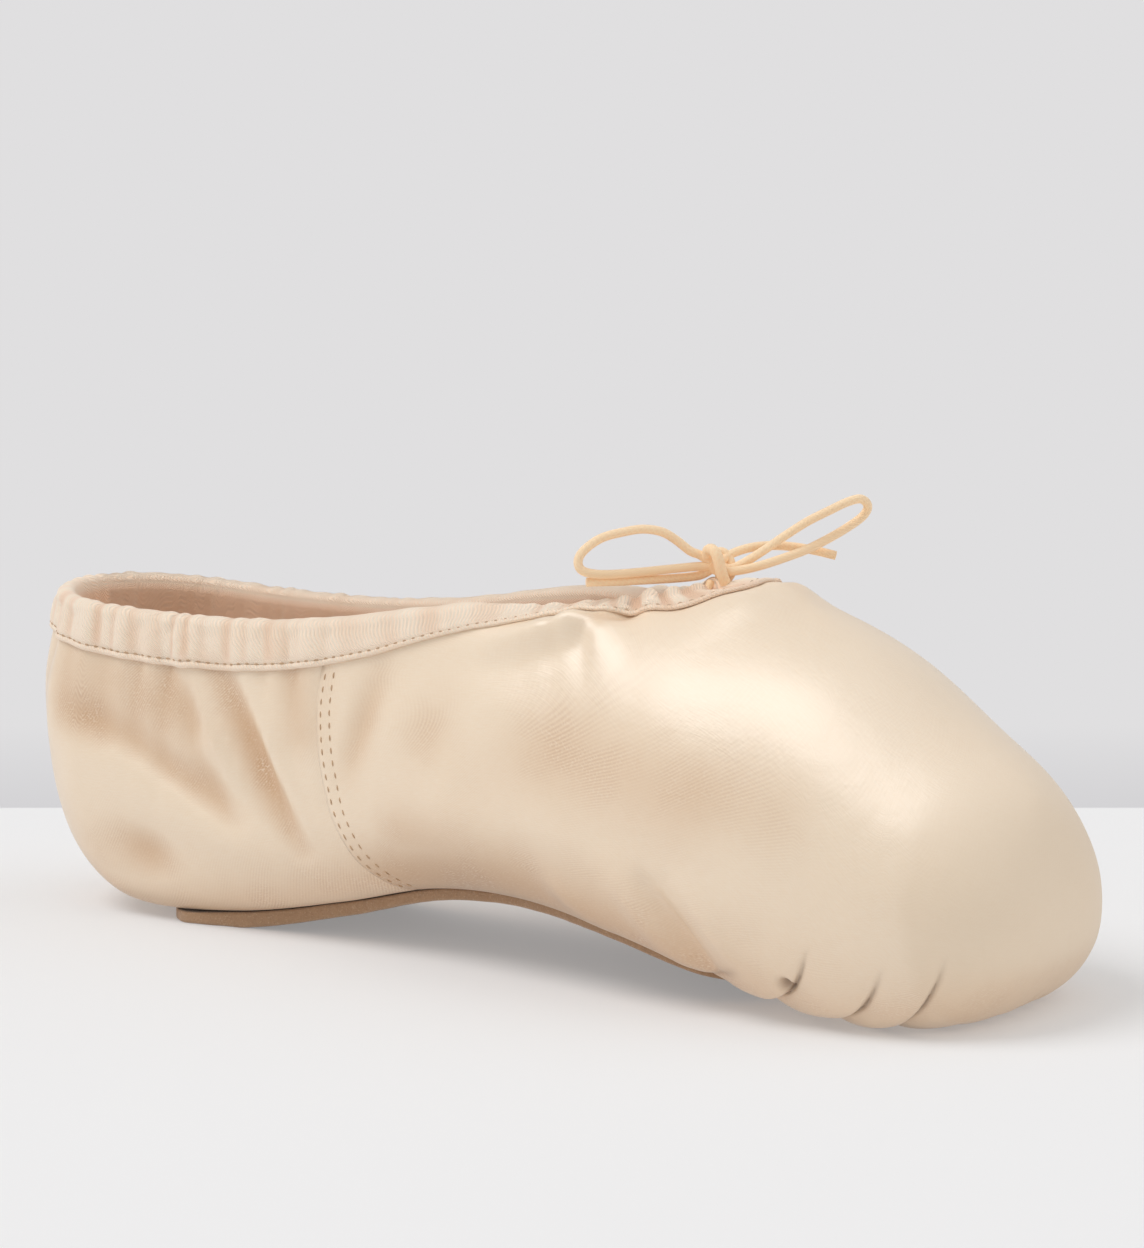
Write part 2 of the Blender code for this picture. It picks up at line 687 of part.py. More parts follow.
def make_tacks(pieces):
    """Two tacks through shank and board into the outsole, with a clear hole round each."""
    head_wide, head_narrow, head_height = TACK_HEAD
    for number, x in enumerate(TACK_PLACES, 1):
        under_head = float(shank_top(x)) + TACK_CLEARANCE
        shaft_top = under_head + head_height / 3
        shaft = add(
            f"shank_tack_{number}",
            cone_mesh("tack", (x, 0, (shaft_top + TACK_FOOT) / 2), TACK_RADIUS, TACK_RADIUS,
                      shaft_top - TACK_FOOT),
            "brass", FLEX_AXIS)
        head = cutter(
            f"tack_head_{number}",
            cone_mesh("tack_head", (x, 0, under_head + head_height / 2), head_wide, head_narrow,
                      head_height, segments=16))
        hole = cutter(
            f"tack_hole_{number}",
            cone_mesh("tack_hole", (x, 0, TACK_FOOT - GAP + TACK_HOLE_DEPTH / 2),
                      TACK_HOLE_RADIUS, TACK_HOLE_RADIUS, TACK_HOLE_DEPTH))
        modifier(shaft, "BOOLEAN", object=head, operation="UNION")
        for piece in pieces:
            modifier(piece, "BOOLEAN", object=hole, operation="DIFFERENCE")


# ---------------------------------------------------------------- binding and drawstring

def topline_columns():
    """From the back of the heel to the throat, close together at both round ends."""
    throat = float(column_at(THROAT, 1.0))
    heel = np.linspace(0, 1, 8)[:-1]
    body = 1 + (throat - 1) * np.sin(np.linspace(0, math.pi / 2, 19))
    return np.concatenate([heel, body])


def last_tree():
    """The last's side and top, both halves, for finding the nearest point on it."""
    throat = float(column_at(THROAT, 1.0))
    quarter_turn = np.linspace(0, math.pi / 2, 60)
    u = np.concatenate([
        np.linspace(-0.4, 1, 24)[:-1],
        1 + (throat - 1) * np.sin(quarter_turn),
        np.linspace(throat, 2.4, 24)[1:],
    ])
    v = np.linspace(0.3, 1, 40)
    half = surface(*np.meshgrid(u, v, indexing="ij"))
    count = len(v)
    faces = [(i * count + j, (i + 1) * count + j, (i + 1) * count + j + 1, i * count + j + 1)
             for i in range(len(u) - 1) for j in range(count - 1)]
    points = half.reshape(-1, 3)
    other = points * [1, -1, 1]
    both = np.vstack([points, other])
    faces += [tuple(index + len(points) for index in face) for face in faces]
    return BVHTree.FromPolygons([Vector(p) for p in both], faces)


def rim_frames(columns):
    """The topline's points, each with its directions away from the opening and outward."""
    line = surface(columns, np.ones(len(columns)))
    ends = np.vstack([line[1] * [1, -1, 1], line, line[-2] * [1, -1, 1]])
    along = ends[2:] - ends[:-2]
    along /= np.linalg.norm(along, axis=1, keepdims=True)
    out = normals(columns, np.full(len(columns), 0.985))
    out -= along * np.sum(out * along, axis=1, keepdims=True)
    out /= np.linalg.norm(out, axis=1, keepdims=True)
    away = np.cross(out, along)
    away *= np.where(away[:, 2:3] - 2 * away[:, :1] * (line[:, :1] > 0.15) > 0, -1, 1)
    return line, away, out


def make_binding():
    line, away, out = rim_frames(topline_columns())
    tree = last_tree()
    legs = (TAPE_REACH, TAPE_REACH / 2, 0.0)
    profile = [(reach, TAPE_OUT) for reach in legs]
    for angle in (0.0, 0.25, 0.5, 0.75, 1.0):
        turn = math.pi * angle
        profile.append((-CHANNEL_RISE - CHANNEL_RADIUS * math.sin(turn),
                        CHANNEL_RADIUS * math.cos(turn) - CHANNEL_DEPTH))
    profile += [(reach, -TAPE_IN) for reach in reversed(legs)]
    rows = []
    for reach, lift in profile:
        row = []
        for point, down, side in zip(line, away, out):
            place = point + down * reach
            normal = side
            if reach > 0:
                found, facing, _, _ = tree.find_nearest(Vector(place))
                place = np.array(found)
                facing = np.array(facing)
                normal = facing if facing @ side > 0 else -facing
            row.append(place + normal * lift)
        rows.append(row)
    grid = np.array(rows)
    grid[:, [0, -1], 1] = 0.0
    binding = shell("binding", grid, TAPE, "tape", offset=0.0)
    hole = cone_mesh("eyelet_hole", BOW_EXIT + Vector((0, 0, EYELET_RISE)), 1, 1, 1, segments=20,
                     scale=EYELET)
    modifier(binding, "BOOLEAN", object=cutter("eyelet_hole", hole), operation="DIFFERENCE")
    return line, away, out


def make_drawstring(line, away, out):
    """The cord in its channel, all round the opening, with both ends rising at the throat."""
    half = line - away * CHANNEL_RISE - out * CHANNEL_DEPTH
    half = half[(half[:, 1] > DRAWSTRING_GAP) | (half[:, 0] < FLEX_X)]
    rise = [(BOW_EXIT.x, y, BOW_EXIT.z + z) for y, z in EXIT_RISE]
    half = np.vstack([half, rise])
    loop = np.vstack([half[::-1], (half * [1, -1, 1])[1:]])
    tube("drawstring", loop, CORD, "cord")


def make_bow():
    work = bmesh.new()
    bmesh.ops.create_uvsphere(work, u_segments=16, v_segments=10, radius=1)
    bmesh.ops.scale(work, verts=work.verts, vec=KNOT_HALF)
    bmesh.ops.translate(work, verts=work.verts, vec=KNOT)
    mesh = bpy.data.meshes.new("bow_knot")
    work.to_mesh(mesh)
    work.free()
    mesh.shade_smooth()
    add("bow_knot", mesh, "cord")
    for name, route in BOW_ROUTES.items():
        tube(name, smooth_route(route, 0.003), CORD, "cord")


# ---------------------------------------------------------------- the whole shoe

def make_shoe():
    rows = np.array(MARGIN_ROWS + SIDE_ROWS)
    make_vamp(rows)
    make_quarters(rows)
    make_box(rows)
    make_platform()
    make_tacks(make_sole())
    make_drawstring(*make_binding())
    make_bow()


clear_scene()
SHOE = collection("pointe_shoe")
CUTTERS = collection("cutters", hidden=True)
FRAME = empty("shoe_frame", (-LENGTH / 2, 0, 0))
FLEX_AXIS = empty("shank_flex_axis", (FLEX_X, 0, FLEX_Z), FRAME)
make_shoe()
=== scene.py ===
"""Looks of a satin pointe shoe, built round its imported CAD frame.

The upper is one parametric surface: u runs from the back of the heel (0) along the side
(1 to 2) and round the toe to its middle (3), and v from the sole's tip (-1) over the feather
edge (0) to the topline or the ridge of the vamp (1). Cloth pieces are grids on it, folded by
displacement. Lengths are in metres. The shoe's own x starts at the back of the heel, and
HEEL_X carries it into the CAD frame.
"""
import math

import bpy
import numpy as np
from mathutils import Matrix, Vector, noise
from mathutils.bvhtree import BVHTree


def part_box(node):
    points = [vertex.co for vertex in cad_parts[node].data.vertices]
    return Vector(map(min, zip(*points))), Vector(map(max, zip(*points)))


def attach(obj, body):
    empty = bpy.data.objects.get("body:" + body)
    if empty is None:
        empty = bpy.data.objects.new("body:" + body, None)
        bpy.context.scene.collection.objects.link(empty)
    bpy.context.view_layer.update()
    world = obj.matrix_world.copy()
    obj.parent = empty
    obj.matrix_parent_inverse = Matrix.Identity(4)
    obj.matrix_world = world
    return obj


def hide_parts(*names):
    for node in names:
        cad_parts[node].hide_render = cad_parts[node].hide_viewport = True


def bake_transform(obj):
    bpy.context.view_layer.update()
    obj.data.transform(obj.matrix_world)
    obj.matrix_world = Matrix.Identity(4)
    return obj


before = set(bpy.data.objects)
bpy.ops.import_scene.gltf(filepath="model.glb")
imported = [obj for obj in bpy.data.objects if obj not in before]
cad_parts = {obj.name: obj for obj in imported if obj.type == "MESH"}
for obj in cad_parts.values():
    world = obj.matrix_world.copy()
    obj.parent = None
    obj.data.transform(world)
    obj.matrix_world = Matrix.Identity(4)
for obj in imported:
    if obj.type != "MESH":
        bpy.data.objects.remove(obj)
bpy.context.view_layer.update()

HEEL_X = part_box("quarter_satin_left")[0].x
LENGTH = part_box("vamp_satin")[1].x - HEEL_X
SIDES = ((1, "left"), (-1, "right"))

# ---------------------------------------------------------------- the last

HEEL_REACH = 0.024
TOE_REACH = 0.034
HEEL_SQUARENESS = 2.1
TOE_SQUARENESS = 3.0
THROAT = 0.163
OPENING_ROUND = 0.038
SECTION_SPLIT = 0.42
MARGIN = 0.009
HEEL_MARGIN = 0.019
HEEL_HUB = 0.040
PLEAT_HUB = 0.168
PLEAT_HOLE = 0.005


def metres(millimetres):
    return np.round(np.array(millimetres, float) / 1000, 7)


# Each table lists (distance from the heel, value) at a few places along the last.
# TOP_HEIGHT is the topline's, and RIDGE_HEIGHT that of the dome which the opening is cut from.
FEATHER_HEIGHT = metres([
    (0, 10), (16, 7.5), (32, 3.6), (62, 3.6), (87, 8), (110, 13.2), (132, 14.2), (157, 11.3),
    (178, 6.8), (202, 1.5), (216, 0), (226, 0.3), (236, 2),
])
TOP_HEIGHT = metres([
    (0, 65), (22, 62.3), (47, 61), (72, 61.2), (97, 63.8), (122, 68.8), (147, 71), (163, 72.2),
    (172, 71.8), (182, 69.5), (197, 61.8), (213, 49.8), (227, 40.5), (236, 32),
])
RIDGE_HEIGHT = metres([
    (122, 80.3), (147, 75.5), (163, 73.8), (172, 73.9), (182, 71.8), (197, 65.4), (213, 53.7),
    (227, 43.3), (236, 33.6),
])
HALF_WIDTH = metres([
    (0, 28.2), (52, 29), (87, 29), (107, 30.4), (127, 34), (152, 38.2), (172, 40.2), (192, 40.2),
    (212, 37.6), (236, 34.2),
])
FEATHER_HALF_WIDTH = metres([
    (0, 21.5), (42, 23.1), (77, 19.8), (102, 18.5), (132, 21), (162, 27), (187, 28.8),
    (212, 27.2), (236, 24.3),
])
WIDEST_SHARE = [(0.000, 0.42), (0.062, 0.36), (0.112, 0.36), (0.162, 0.40), (0.202, 0.45)]
OPENING_HALF_WIDTH = metres([(0, 25), (32, 25.5), (92, 24.5), (163, 20.5)])
SOLE_HALF_WIDTH = metres([
    (36, 20.5), (48, 24.5), (60, 22.2), (78, 18.7), (102, 17.2), (127, 19), (150, 23.8),
    (168, 26.2), (188, 24),
])
SOLE_THICKNESS = metres([(32, 3.3), (62, 3.3), (112, 2.4), (188, 2.1)])
HEEL_PROFILE = [
    (0.0, 0.0165), (0.12, 0.0098), (0.3, 0.0036), (0.5, 0.0), (0.75, 0.0006), (1.0, 0.0036),
]
TOE_PROFILE = [
    (0.0, 0.0140), (0.12, 0.0070), (0.3, 0.0012), (0.5, 0.0), (0.75, 0.0022), (1.0, 0.0070),
]
SEAM = [
    (0.0, 0.1045), (0.1, 0.1025), (0.3, 0.0948), (0.5, 0.0885), (0.7, 0.0858), (1.0, 0.0868),
]


def through(table, at):
    """A smooth curve through the table's points, level with its ends outside them."""
    places, values = np.array(table, float).T
    at = np.clip(np.asarray(at, float), places[0], places[-1])
    step = np.diff(places)
    slope = np.diff(values) / step
    tangent = np.empty_like(values)
    tangent[1:-1] = (slope[:-1] * step[1:] + slope[1:] * step[:-1]) / (step[:-1] + step[1:])
    tangent[0] = 1.5 * slope[0] - 0.5 * tangent[1]
    tangent[-1] = 1.5 * slope[-1] - 0.5 * tangent[-2]
    i = np.clip(np.searchsorted(places, at) - 1, 0, len(step) - 1)
    t = (at - places[i]) / step[i]
    rise = t * t * (3 - 2 * t)
    bend = t * (1 - t) ** 2 * tangent[i] - t * t * (1 - t) * tangent[i + 1]
    return values[i] * (1 - rise) + values[i + 1] * rise + step[i] * bend


def ease(t):
    t = np.clip(t, 0, 1)
    return t * t * (3 - 2 * t)


def hump(t):
    """1 at t = 0, falling smoothly to nothing by about t = 2 on both sides."""
    return np.exp(-np.square(t))


def bezier(a, b, c, d, t):
    return a * (1 - t) ** 3 + 3 * b * t * (1 - t) ** 2 + 3 * c * t * t * (1 - t) + d * t ** 3


DOME_STEPS = np.linspace(0, 1, 400)
DOME_WIDTH = bezier(1, 1, 0.56, 0, DOME_STEPS)


def dome_height(t):
    return bezier(0, 0.55, 1, 1, t)


def opening_half_width(x):
    left = np.clip((THROAT - x) / OPENING_ROUND, 0, 1)
    return through(OPENING_HALF_WIDTH, x) * np.sqrt(1 - (1 - left) ** 2)


def section(x, v):
    """(y, z) on the section at x: v = 0 at the feather edge, 1 at the topline or the ridge."""
    base = through(FEATHER_HEIGHT, x)
    height = through(TOP_HEIGHT, x) - base
    wide = through(HALF_WIDTH, x)
    wide_z = through(WIDEST_SHARE, x) * height
    feather = through(FEATHER_HALF_WIDTH, x)
    top = opening_half_width(x)
    low = np.clip(v / SECTION_SPLIT, 0, 1)
    high = np.clip((v - SECTION_SPLIT) / (1 - SECTION_SPLIT), 0, 1)
    rise = height - wide_z
    y_low = bezier(feather, feather + 0.62 * (wide - feather), wide, wide, low)
    z_low = bezier(0, 0.02 * wide_z, 0.45 * wide_z, wide_z, low)
    # Over the heel the wall stands up. Over the instep it is a dome, cut at the topline.
    y_wall = bezier(wide, wide, top + 0.10 * (wide - top), top, high)
    z_wall = bezier(wide_z, wide_z + 0.55 * rise, wide_z + 0.65 * rise, height, high)
    reach = np.interp(-top / wide, -DOME_WIDTH, DOME_STEPS)
    # Rows low on the dome pass the throat without a jog, and those at the topline follow it.
    power = np.clip(0.7 / np.maximum(1 - reach, 1e-6) - 1, 0, 4)
    along = high * (1 - (1 - reach) * high ** power)
    y_dome = wide * np.interp(along, DOME_STEPS, DOME_WIDTH)
    z_dome = wide_z + (through(RIDGE_HEIGHT, x) - base - wide_z) * dome_height(along)
    dome = ease((x - 0.100) / 0.045)
    y_high = y_wall + (y_dome - y_wall) * dome
    z_high = z_wall + (z_dome - z_wall) * dome
    lower = v < SECTION_SPLIT
    return np.where(lower, y_low, y_high), base + np.where(lower, z_low, z_high)


def round_end(angle, squareness):
    """(advance, half width) of a superellipse end, from its tip (0) to its side (pi / 2)."""
    cos = np.cos(angle)
    sin = np.sin(angle)
    radius = (np.abs(cos) ** squareness + np.abs(sin) ** squareness) ** (-1 / squareness)
    return 1 - radius * cos, radius * sin


def side_ends(v):
    """Where the straight part of the row at v starts and ends."""
    return through(HEEL_PROFILE, v) + HEEL_REACH, LENGTH - through(TOE_PROFILE, v) - TOE_REACH


def last_point(u, v):
    """A point of the last's left side."""
    u, v = np.broadcast_arrays(np.asarray(u, float), np.asarray(v, float))
    start, end = side_ends(v)
    heel_x, heel_k = round_end(np.clip(u, 0, 1) * math.pi / 2, HEEL_SQUARENESS)
    toe_x, toe_k = round_end(np.clip(3 - u, 0, 1) * math.pi / 2, TOE_SQUARENESS)
    x = np.where(u < 1, start - HEEL_REACH * (1 - heel_x), start + (end - start) * (u - 1))
    x = np.where(u > 2, end + TOE_REACH * (1 - toe_x), x)
    k = np.where(u < 1, heel_k, np.where(u > 2, toe_k, 1.0))
    y, z = section(x, v)
    y = y * k
    y[(u <= 0) | (u >= 3)] = 0.0
    return np.stack([x, y, z], -1)


def margin_point(u, v):
    """A point of the turned-in margin: v = 0 at the feather edge, -1 at its inner edge."""
    edge = last_point(u, 0.0 * u)
    centre = np.stack([np.clip(edge[..., 0], HEEL_HUB, PLEAT_HUB), 0 * edge[..., 0]], -1)
    outward = edge[..., :2] - centre
    reach = np.maximum(np.linalg.norm(outward, axis=-1), 1e-6)
    gathered = ease((edge[..., 0] - 0.142) / 0.030)
    margin = HEEL_MARGIN + (MARGIN - HEEL_MARGIN) * ease((edge[..., 0] - 0.015) / 0.030)
    inner = (reach - margin) * (1 - gathered) + PLEAT_HOLE * gathered
    share = (1 + v * (1 - inner / reach))[..., None]
    flat = centre + outward * share
    return np.concatenate([flat, through(FEATHER_HEIGHT, flat[..., :1])], -1)


def surface(u, v):
    u, v = np.broadcast_arrays(np.asarray(u, float), np.asarray(v, float))
    side = last_point(u, np.clip(v, 0, 1))
    return np.where(v[..., None] < 0, margin_point(u, np.clip(v, -1, 0)), side)


def column_at(x, v):
    start, end = side_ends(np.clip(v, 0, 1))
    return 1 + (x - start) / (end - start)


# ---------------------------------------------------------------- grids

def reach_along(path):
    """The distance run from the path's start to each of its points."""
    return np.concatenate([[0], np.cumsum(np.linalg.norm(np.diff(path, axis=0), axis=1))])


def sampled(path, reach, at):
    """The path's values at set distances from its start."""
    return np.stack([np.interp(at, reach, path[:, i]) for i in range(3)], -1)


def quads(rows, columns):
    r, c = np.meshgrid(np.arange(rows - 1), np.arange(columns - 1), indexing="ij")
    corner = (r * columns + c).ravel()
    return np.stack([corner, corner + columns, corner + columns + 1, corner + 1], -1)


def welded(flat):
    """(first index of each place, place of each index) of points that share a place."""
    _, first, inverse = np.unique(
        np.round(flat, 7), axis=0, return_index=True, return_inverse=True)
    return first, inverse.reshape(-1)


def grid_normals(grid):
    flat = grid.reshape(-1, 3)
    faces = quads(*grid.shape[:2])
    _, inverse = welded(flat)
    a, b, c, d = (flat[faces[:, k]] for k in range(4))
    across = np.cross(c - a, d - b)
    total = np.zeros((inverse.max() + 1, 3))
    for k in range(4):
        np.add.at(total, inverse[faces[:, k]], across)
    out = total[inverse]
    out /= np.maximum(np.linalg.norm(out, axis=1, keepdims=True), 1e-15)
    return out.reshape(grid.shape)


def laid(u, v, side=1):
    """The last's points at a grid of u and v, on the given side, and their normals."""
    base = surface(u, v)
    base[..., 1] *= side
    return base, grid_normals(base)


def for_side(side, grid, shades):
    """A left-hand grid with its shades, turned over for the right side (-1)."""
    if side > 0:
        return grid, shades
    return (grid * [1, -1, 1])[:, ::-1], {key: value[:, ::-1] for key, value in shades.items()}


def arc(grid, axis):
    """Distance run along the grid's rows (axis 0) or columns (axis 1)."""
    step = np.linalg.norm(np.diff(grid, axis=axis), axis=-1)
    start = np.zeros_like(grid[:1, :, 0] if axis == 0 else grid[:, :1, 0])
    return np.concatenate([start, np.cumsum(step, axis=axis)], axis)


def cloth(name, grid, finish, thickness, shades=None):
    """A sheet over a grid of points, with its weave's own lengths as texture coordinates."""
    flat = grid.reshape(-1, 3)
    faces = quads(*grid.shape[:2])
    first, inverse = welded(flat)
    mesh = bpy.data.meshes.new(name)
    mesh.from_pydata((flat[first] + [HEEL_X, 0, 0]).tolist(), [], inverse[faces].tolist())
    uv = np.stack([arc(grid, 1), arc(grid, 0)], -1)
    layer = mesh.uv_layers.new(name="cloth")
    layer.data.foreach_set("uv", uv.reshape(-1, 2)[faces.ravel()].astype(np.float32).ravel())
    for key, values in (shades or {}).items():
        attribute = mesh.attributes.new(key, "FLOAT", "POINT")
        attribute.data.foreach_set("value", values.reshape(-1)[first].astype(np.float32))
    mesh.validate()
    mesh.shade_smooth()
    obj = link(name, mesh, finish)
    solid = obj.modifiers.new("Solidify", "SOLIDIFY")
    solid.thickness = thickness
    solid.offset = -1.0
    return obj


def link(name, data, finish):
    obj = bpy.data.objects.new(name, data)
    bpy.context.scene.collection.objects.link(obj)
    data.materials.append(finish)
    return obj


def flex(piece, slot, *nodes):
    """The piece's placement is baked into its mesh, and it stands for the CAD nodes, which are
    hidden.
    """
    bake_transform(piece)
    if nodes:
        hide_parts(*nodes)


def rigid(piece, node):
    """The piece rides on the forefoot and stands for a CAD node."""
    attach(piece, "forefoot")
    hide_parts(node)


def smooth_route(points, spacing):
    """Points a set distance apart on a smooth curve through the route's own points."""
    route = np.array(points, float)
    padded = np.vstack([2 * route[0] - route[1], route, 2 * route[-1] - route[-2]])
    dense = []
    for a, b, c, d in zip(padded, padded[1:], padded[2:], padded[3:]):
        for t in np.linspace(0, 1, 24, endpoint=False):
            dense.append(
                0.5 * (2 * b + (c - a) * t + (2 * a - 5 * b + 4 * c - d) * t ** 2
                       + (3 * b - 3 * c + d - a) * t ** 3)
            )
    dense = np.array(dense + [route[-1]])
    reach = reach_along(dense)
    even = np.linspace(0, reach[-1], max(2, round(reach[-1] / spacing) + 1))
    return sampled(dense, reach, even)


# ---------------------------------------------------------------- finishes

def srgb(red, green, blue):
    values = [channel / 255 for channel in (red, green, blue)]
    return (*[v / 12.92 if v < 0.04045 else ((v + 0.055) / 1.055) ** 2.4 for v in values], 1)


class Finish:
    """A Principled material, and short ways to add nodes to it."""

    def __init__(self, name, roughness, **sockets):
        self.material = bpy.data.materials.new(name)
        self.material.use_nodes = True
        self.tree = self.material.node_tree
        self.shader = self.tree.nodes["Principled BSDF"]
        self.shader.inputs["Roughness"].default_value = roughness
        for key, value in sockets.items():
            self.shader.inputs[key.replace("_", " ")].default_value = value
        self.normal = None

    def node(self, kind, *links, **settings):
        """A node; settings are its properties, and links fill its inputs in order."""
        made = self.tree.nodes.new("ShaderNode" + kind)
        for key, value in settings.items():
            setattr(made, key, value)
        for socket, value in zip(made.inputs, links):
            self.fill(socket, value)
        return made

    def fill(self, socket, value):
        if isinstance(value, bpy.types.NodeSocket):
            self.tree.links.new(value, socket)
        else:
            socket.default_value = value

    def weave(self, across, up):
        """The cloth's own coordinates, counted in cells of the two sizes given in metres."""
        uv = self.node("UVMap", uv_map="cloth").outputs[0]
        scaled = self.node("VectorMath", uv, (1 / across, 1 / up, 1), operation="MULTIPLY")
        return scaled.outputs[0]

    def place(self, cell):
        where = self.node("TexCoord").outputs["Object"]
        return self.node("VectorMath", where, (1 / cell,) * 3, operation="MULTIPLY").outputs[0]

    def noise(self, where, detail=2.0, rough=0.5):
        made = self.node("TexNoise", where)
        made.inputs["Scale"].default_value = 1.0
        made.inputs["Detail"].default_value = detail
        made.inputs["Roughness"].default_value = rough
        return made.outputs[0]

    def waves(self, where, distortion):
        """Diagonal bands, one to each cell along either axis."""
        made = self.node("TexWave", where, bands_direction="DIAGONAL")
        made.inputs["Scale"].default_value = 2 * math.pi / 10
        made.inputs["Distortion"].default_value = distortion
        made.inputs["Detail"].default_value = 1.0
        return made.outputs["Fac"]

    def value(self, value, low, high, to_low, to_high):
        return self.node("MapRange", value, low, high, to_low, to_high).outputs[0]

    def math(self, operation, a, b):
        return self.node("Math", a, b, operation=operation).outputs[0]

    def times(self, a, b):
        return self.math("MULTIPLY", a, b)

    def shade(self, key):
        return self.node("Attribute", attribute_name=key).outputs["Fac"]

    def mix(self, share, a, b):
        made = self.node("Mix", data_type="RGBA")
        self.fill(made.inputs[0], share)
        self.fill(made.inputs[6], a)
        self.fill(made.inputs[7], b)
        return made.outputs[2]

    def colour(self, value):
        self.fill(self.shader.inputs["Base Color"], value)

    def roughness(self, value):
        self.fill(self.shader.inputs["Roughness"], value)

    def glow(self, colour, strength):
        """Painted light: the cloth gives faint light of its own, which lifts its shaded parts.
        """
        self.fill(self.shader.inputs["Emission Color"], colour)
        self.fill(self.shader.inputs["Emission Strength"], strength)

    def bump(self, height, depth, strength):
        """Adds relief of a depth in metres over what is already there."""
        made = self.node("Bump")
        made.inputs["Strength"].default_value = strength
        made.inputs["Distance"].default_value = depth
        self.fill(made.inputs["Height"], height)
        if self.normal is not None:
            self.fill(made.inputs["Normal"], self.normal)
        self.normal = made.outputs[0]
        self.fill(self.shader.inputs["Normal"], self.normal)


def satin_finish():
    """Shuttle-woven satin: long floats lie one way, and the toe's front is duller. Painted shade
    tans its hollows and darkens its creases, and painted glints spark in its folds.
    """
    made = Finish("satin", 0.34, Specular_IOR_Level=0.8, Sheen_Weight=0.18,
                  Sheen_Roughness=0.4, Anisotropic=0.4)
    cloud = made.noise(made.place(0.030), 3.0)
    floats = made.noise(made.weave(0.0022, 0.00030), 3.0, 0.6)
    threads = made.waves(made.weave(0.00080, 0.00080), 0.3)
    grain = made.noise(made.weave(0.00060, 0.00045), 1.0)
    patch = made.value(made.noise(made.place(0.011), 2.0), 0.46, 0.62, 0.25, 1.0)
    dull, fold, crease_and_shade = (made.shade(key) for key in ("dull", "fold", "crease_and_shade"))
    colour = made.mix(cloud, srgb(250, 230, 204), srgb(243, 219, 190))
    colour = made.mix(made.value(floats, 0.3, 0.7, 0.0, 0.22), colour, srgb(255, 246, 232))
    colour = made.mix(made.times(dull, 0.45), colour, srgb(236, 214, 186))
    # Painted shade: a tan tint in hollows, under satin that faces down and over broad areas
    # turned from the light.
    colour = made.mix(made.times(fold, 0.85), colour, srgb(214, 174, 134))
    # The twill's dark weave is drawn most strongly in that painted shade.
    twill = made.times(made.value(threads, 0.0, 1.0, 0.60, 0.0), patch)
    weave_share = made.times(twill, made.math("ADD", fold, 0.06))
    colour = made.mix(weave_share, colour, srgb(196, 150, 112))
    # Painted glints: near-white sparks of the grain, strongest in the painted shade.
    glint = made.times(made.value(grain, 0.52, 0.66, 0.0, 0.5),
                      made.math("ADD", fold, 0.05))
    colour = made.mix(made.times(glint, patch), colour, srgb(255, 242, 224))
    # Painted shade: dark brown along the pleats' creases and in the gap under the first right
    # pleat.
    colour = made.mix(made.times(crease_and_shade, 0.8), colour, srgb(116, 82, 56))
    # Darker towards the bottom, and painted shade under the arch.
    colour = made.mix(made.shade("low_darkening_and_arch_shade"), colour, srgb(168, 140, 112))
    made.colour(colour)
    rough = made.value(floats, 0.3, 0.7, 0.29, 0.41)
    made.roughness(made.math("ADD", rough, made.times(dull, 0.24)))
    made.bump(floats, 0.00008, 0.4)
    made.bump(threads, 0.00010, 0.06)
    made.bump(made.noise(made.place(0.0045), 3.0), 0.00035, 0.35)
    return made.material


def twill_finish(name, light, dark, pitch, glow_colour, glow):
    """Cotton twill: diagonal ribs, broken into dots by the threads that cross them. Painted
    shade tints its folds, and it glows faintly with painted light.
    """
    made = Finish(name, 0.86, Specular_IOR_Level=0.25, Sheen_Weight=0.30, Sheen_Roughness=0.6)
    ribs = made.waves(made.weave(pitch, pitch), 0.15)
    picks = made.waves(made.weave(-pitch * 0.62, pitch * 0.62), 0.2)
    dots = made.times(ribs, made.value(picks, 0.0, 1.0, 0.45, 1.0))
    slubs = made.noise(made.weave(pitch * 0.5, pitch * 0.4), 2.0)
    cloud = made.noise(made.place(0.012), 3.0)
    colour = made.mix(made.value(cloud, 0.3, 0.7, 0.0, 0.3), light, dark)
    colour = made.mix(made.value(dots, 0.0, 0.8, 0.45, 0.0), colour, dark)
    colour = made.mix(made.value(slubs, 0.35, 0.7, 0.0, 0.18), colour, dark)
    # Painted shade: a warm tan where the cloth's fold shade is.
    fold = made.times(made.shade("fold"), 0.7)
    colour = made.mix(fold, colour, made.mix(0.55, dark, srgb(206, 142, 92)))
    made.colour(colour)
    made.roughness(made.value(slubs, 0.2, 0.8, 0.78, 0.94))
    made.bump(dots, 0.00022, 0.8)
    made.bump(slubs, 0.00012, 0.3)
    made.glow(glow_colour, glow)
    return made.material


def cord_finish():
    """Braided elastic: two sets of strands cross round the cord."""
    made = Finish("cord", 0.72, Specular_IOR_Level=0.35, Sheen_Weight=0.25)
    one = made.waves(made.weave(0.0011, 0.0011), 0.2)
    other = made.waves(made.weave(-0.0011, 0.0011), 0.2)
    braid = made.math("MAXIMUM", one, other)
    colour = made.mix(made.value(braid, 0.2, 1.0, 0.30, 0.0), srgb(253, 226, 188),
                      srgb(242, 200, 154))
    cloud = made.value(made.noise(made.place(0.009)), 0.3, 0.7, 0, 0.25)
    made.colour(made.mix(cloud, colour, srgb(246, 208, 166)))
    made.roughness(made.value(braid, 0.0, 1.0, 0.82, 0.66))
    made.bump(braid, 0.00008, 0.5)
    # Painted light: a faint glow of its own lifts the cord's shaded strands.
    made.glow(srgb(255, 200, 150), 0.05)
    return made.material


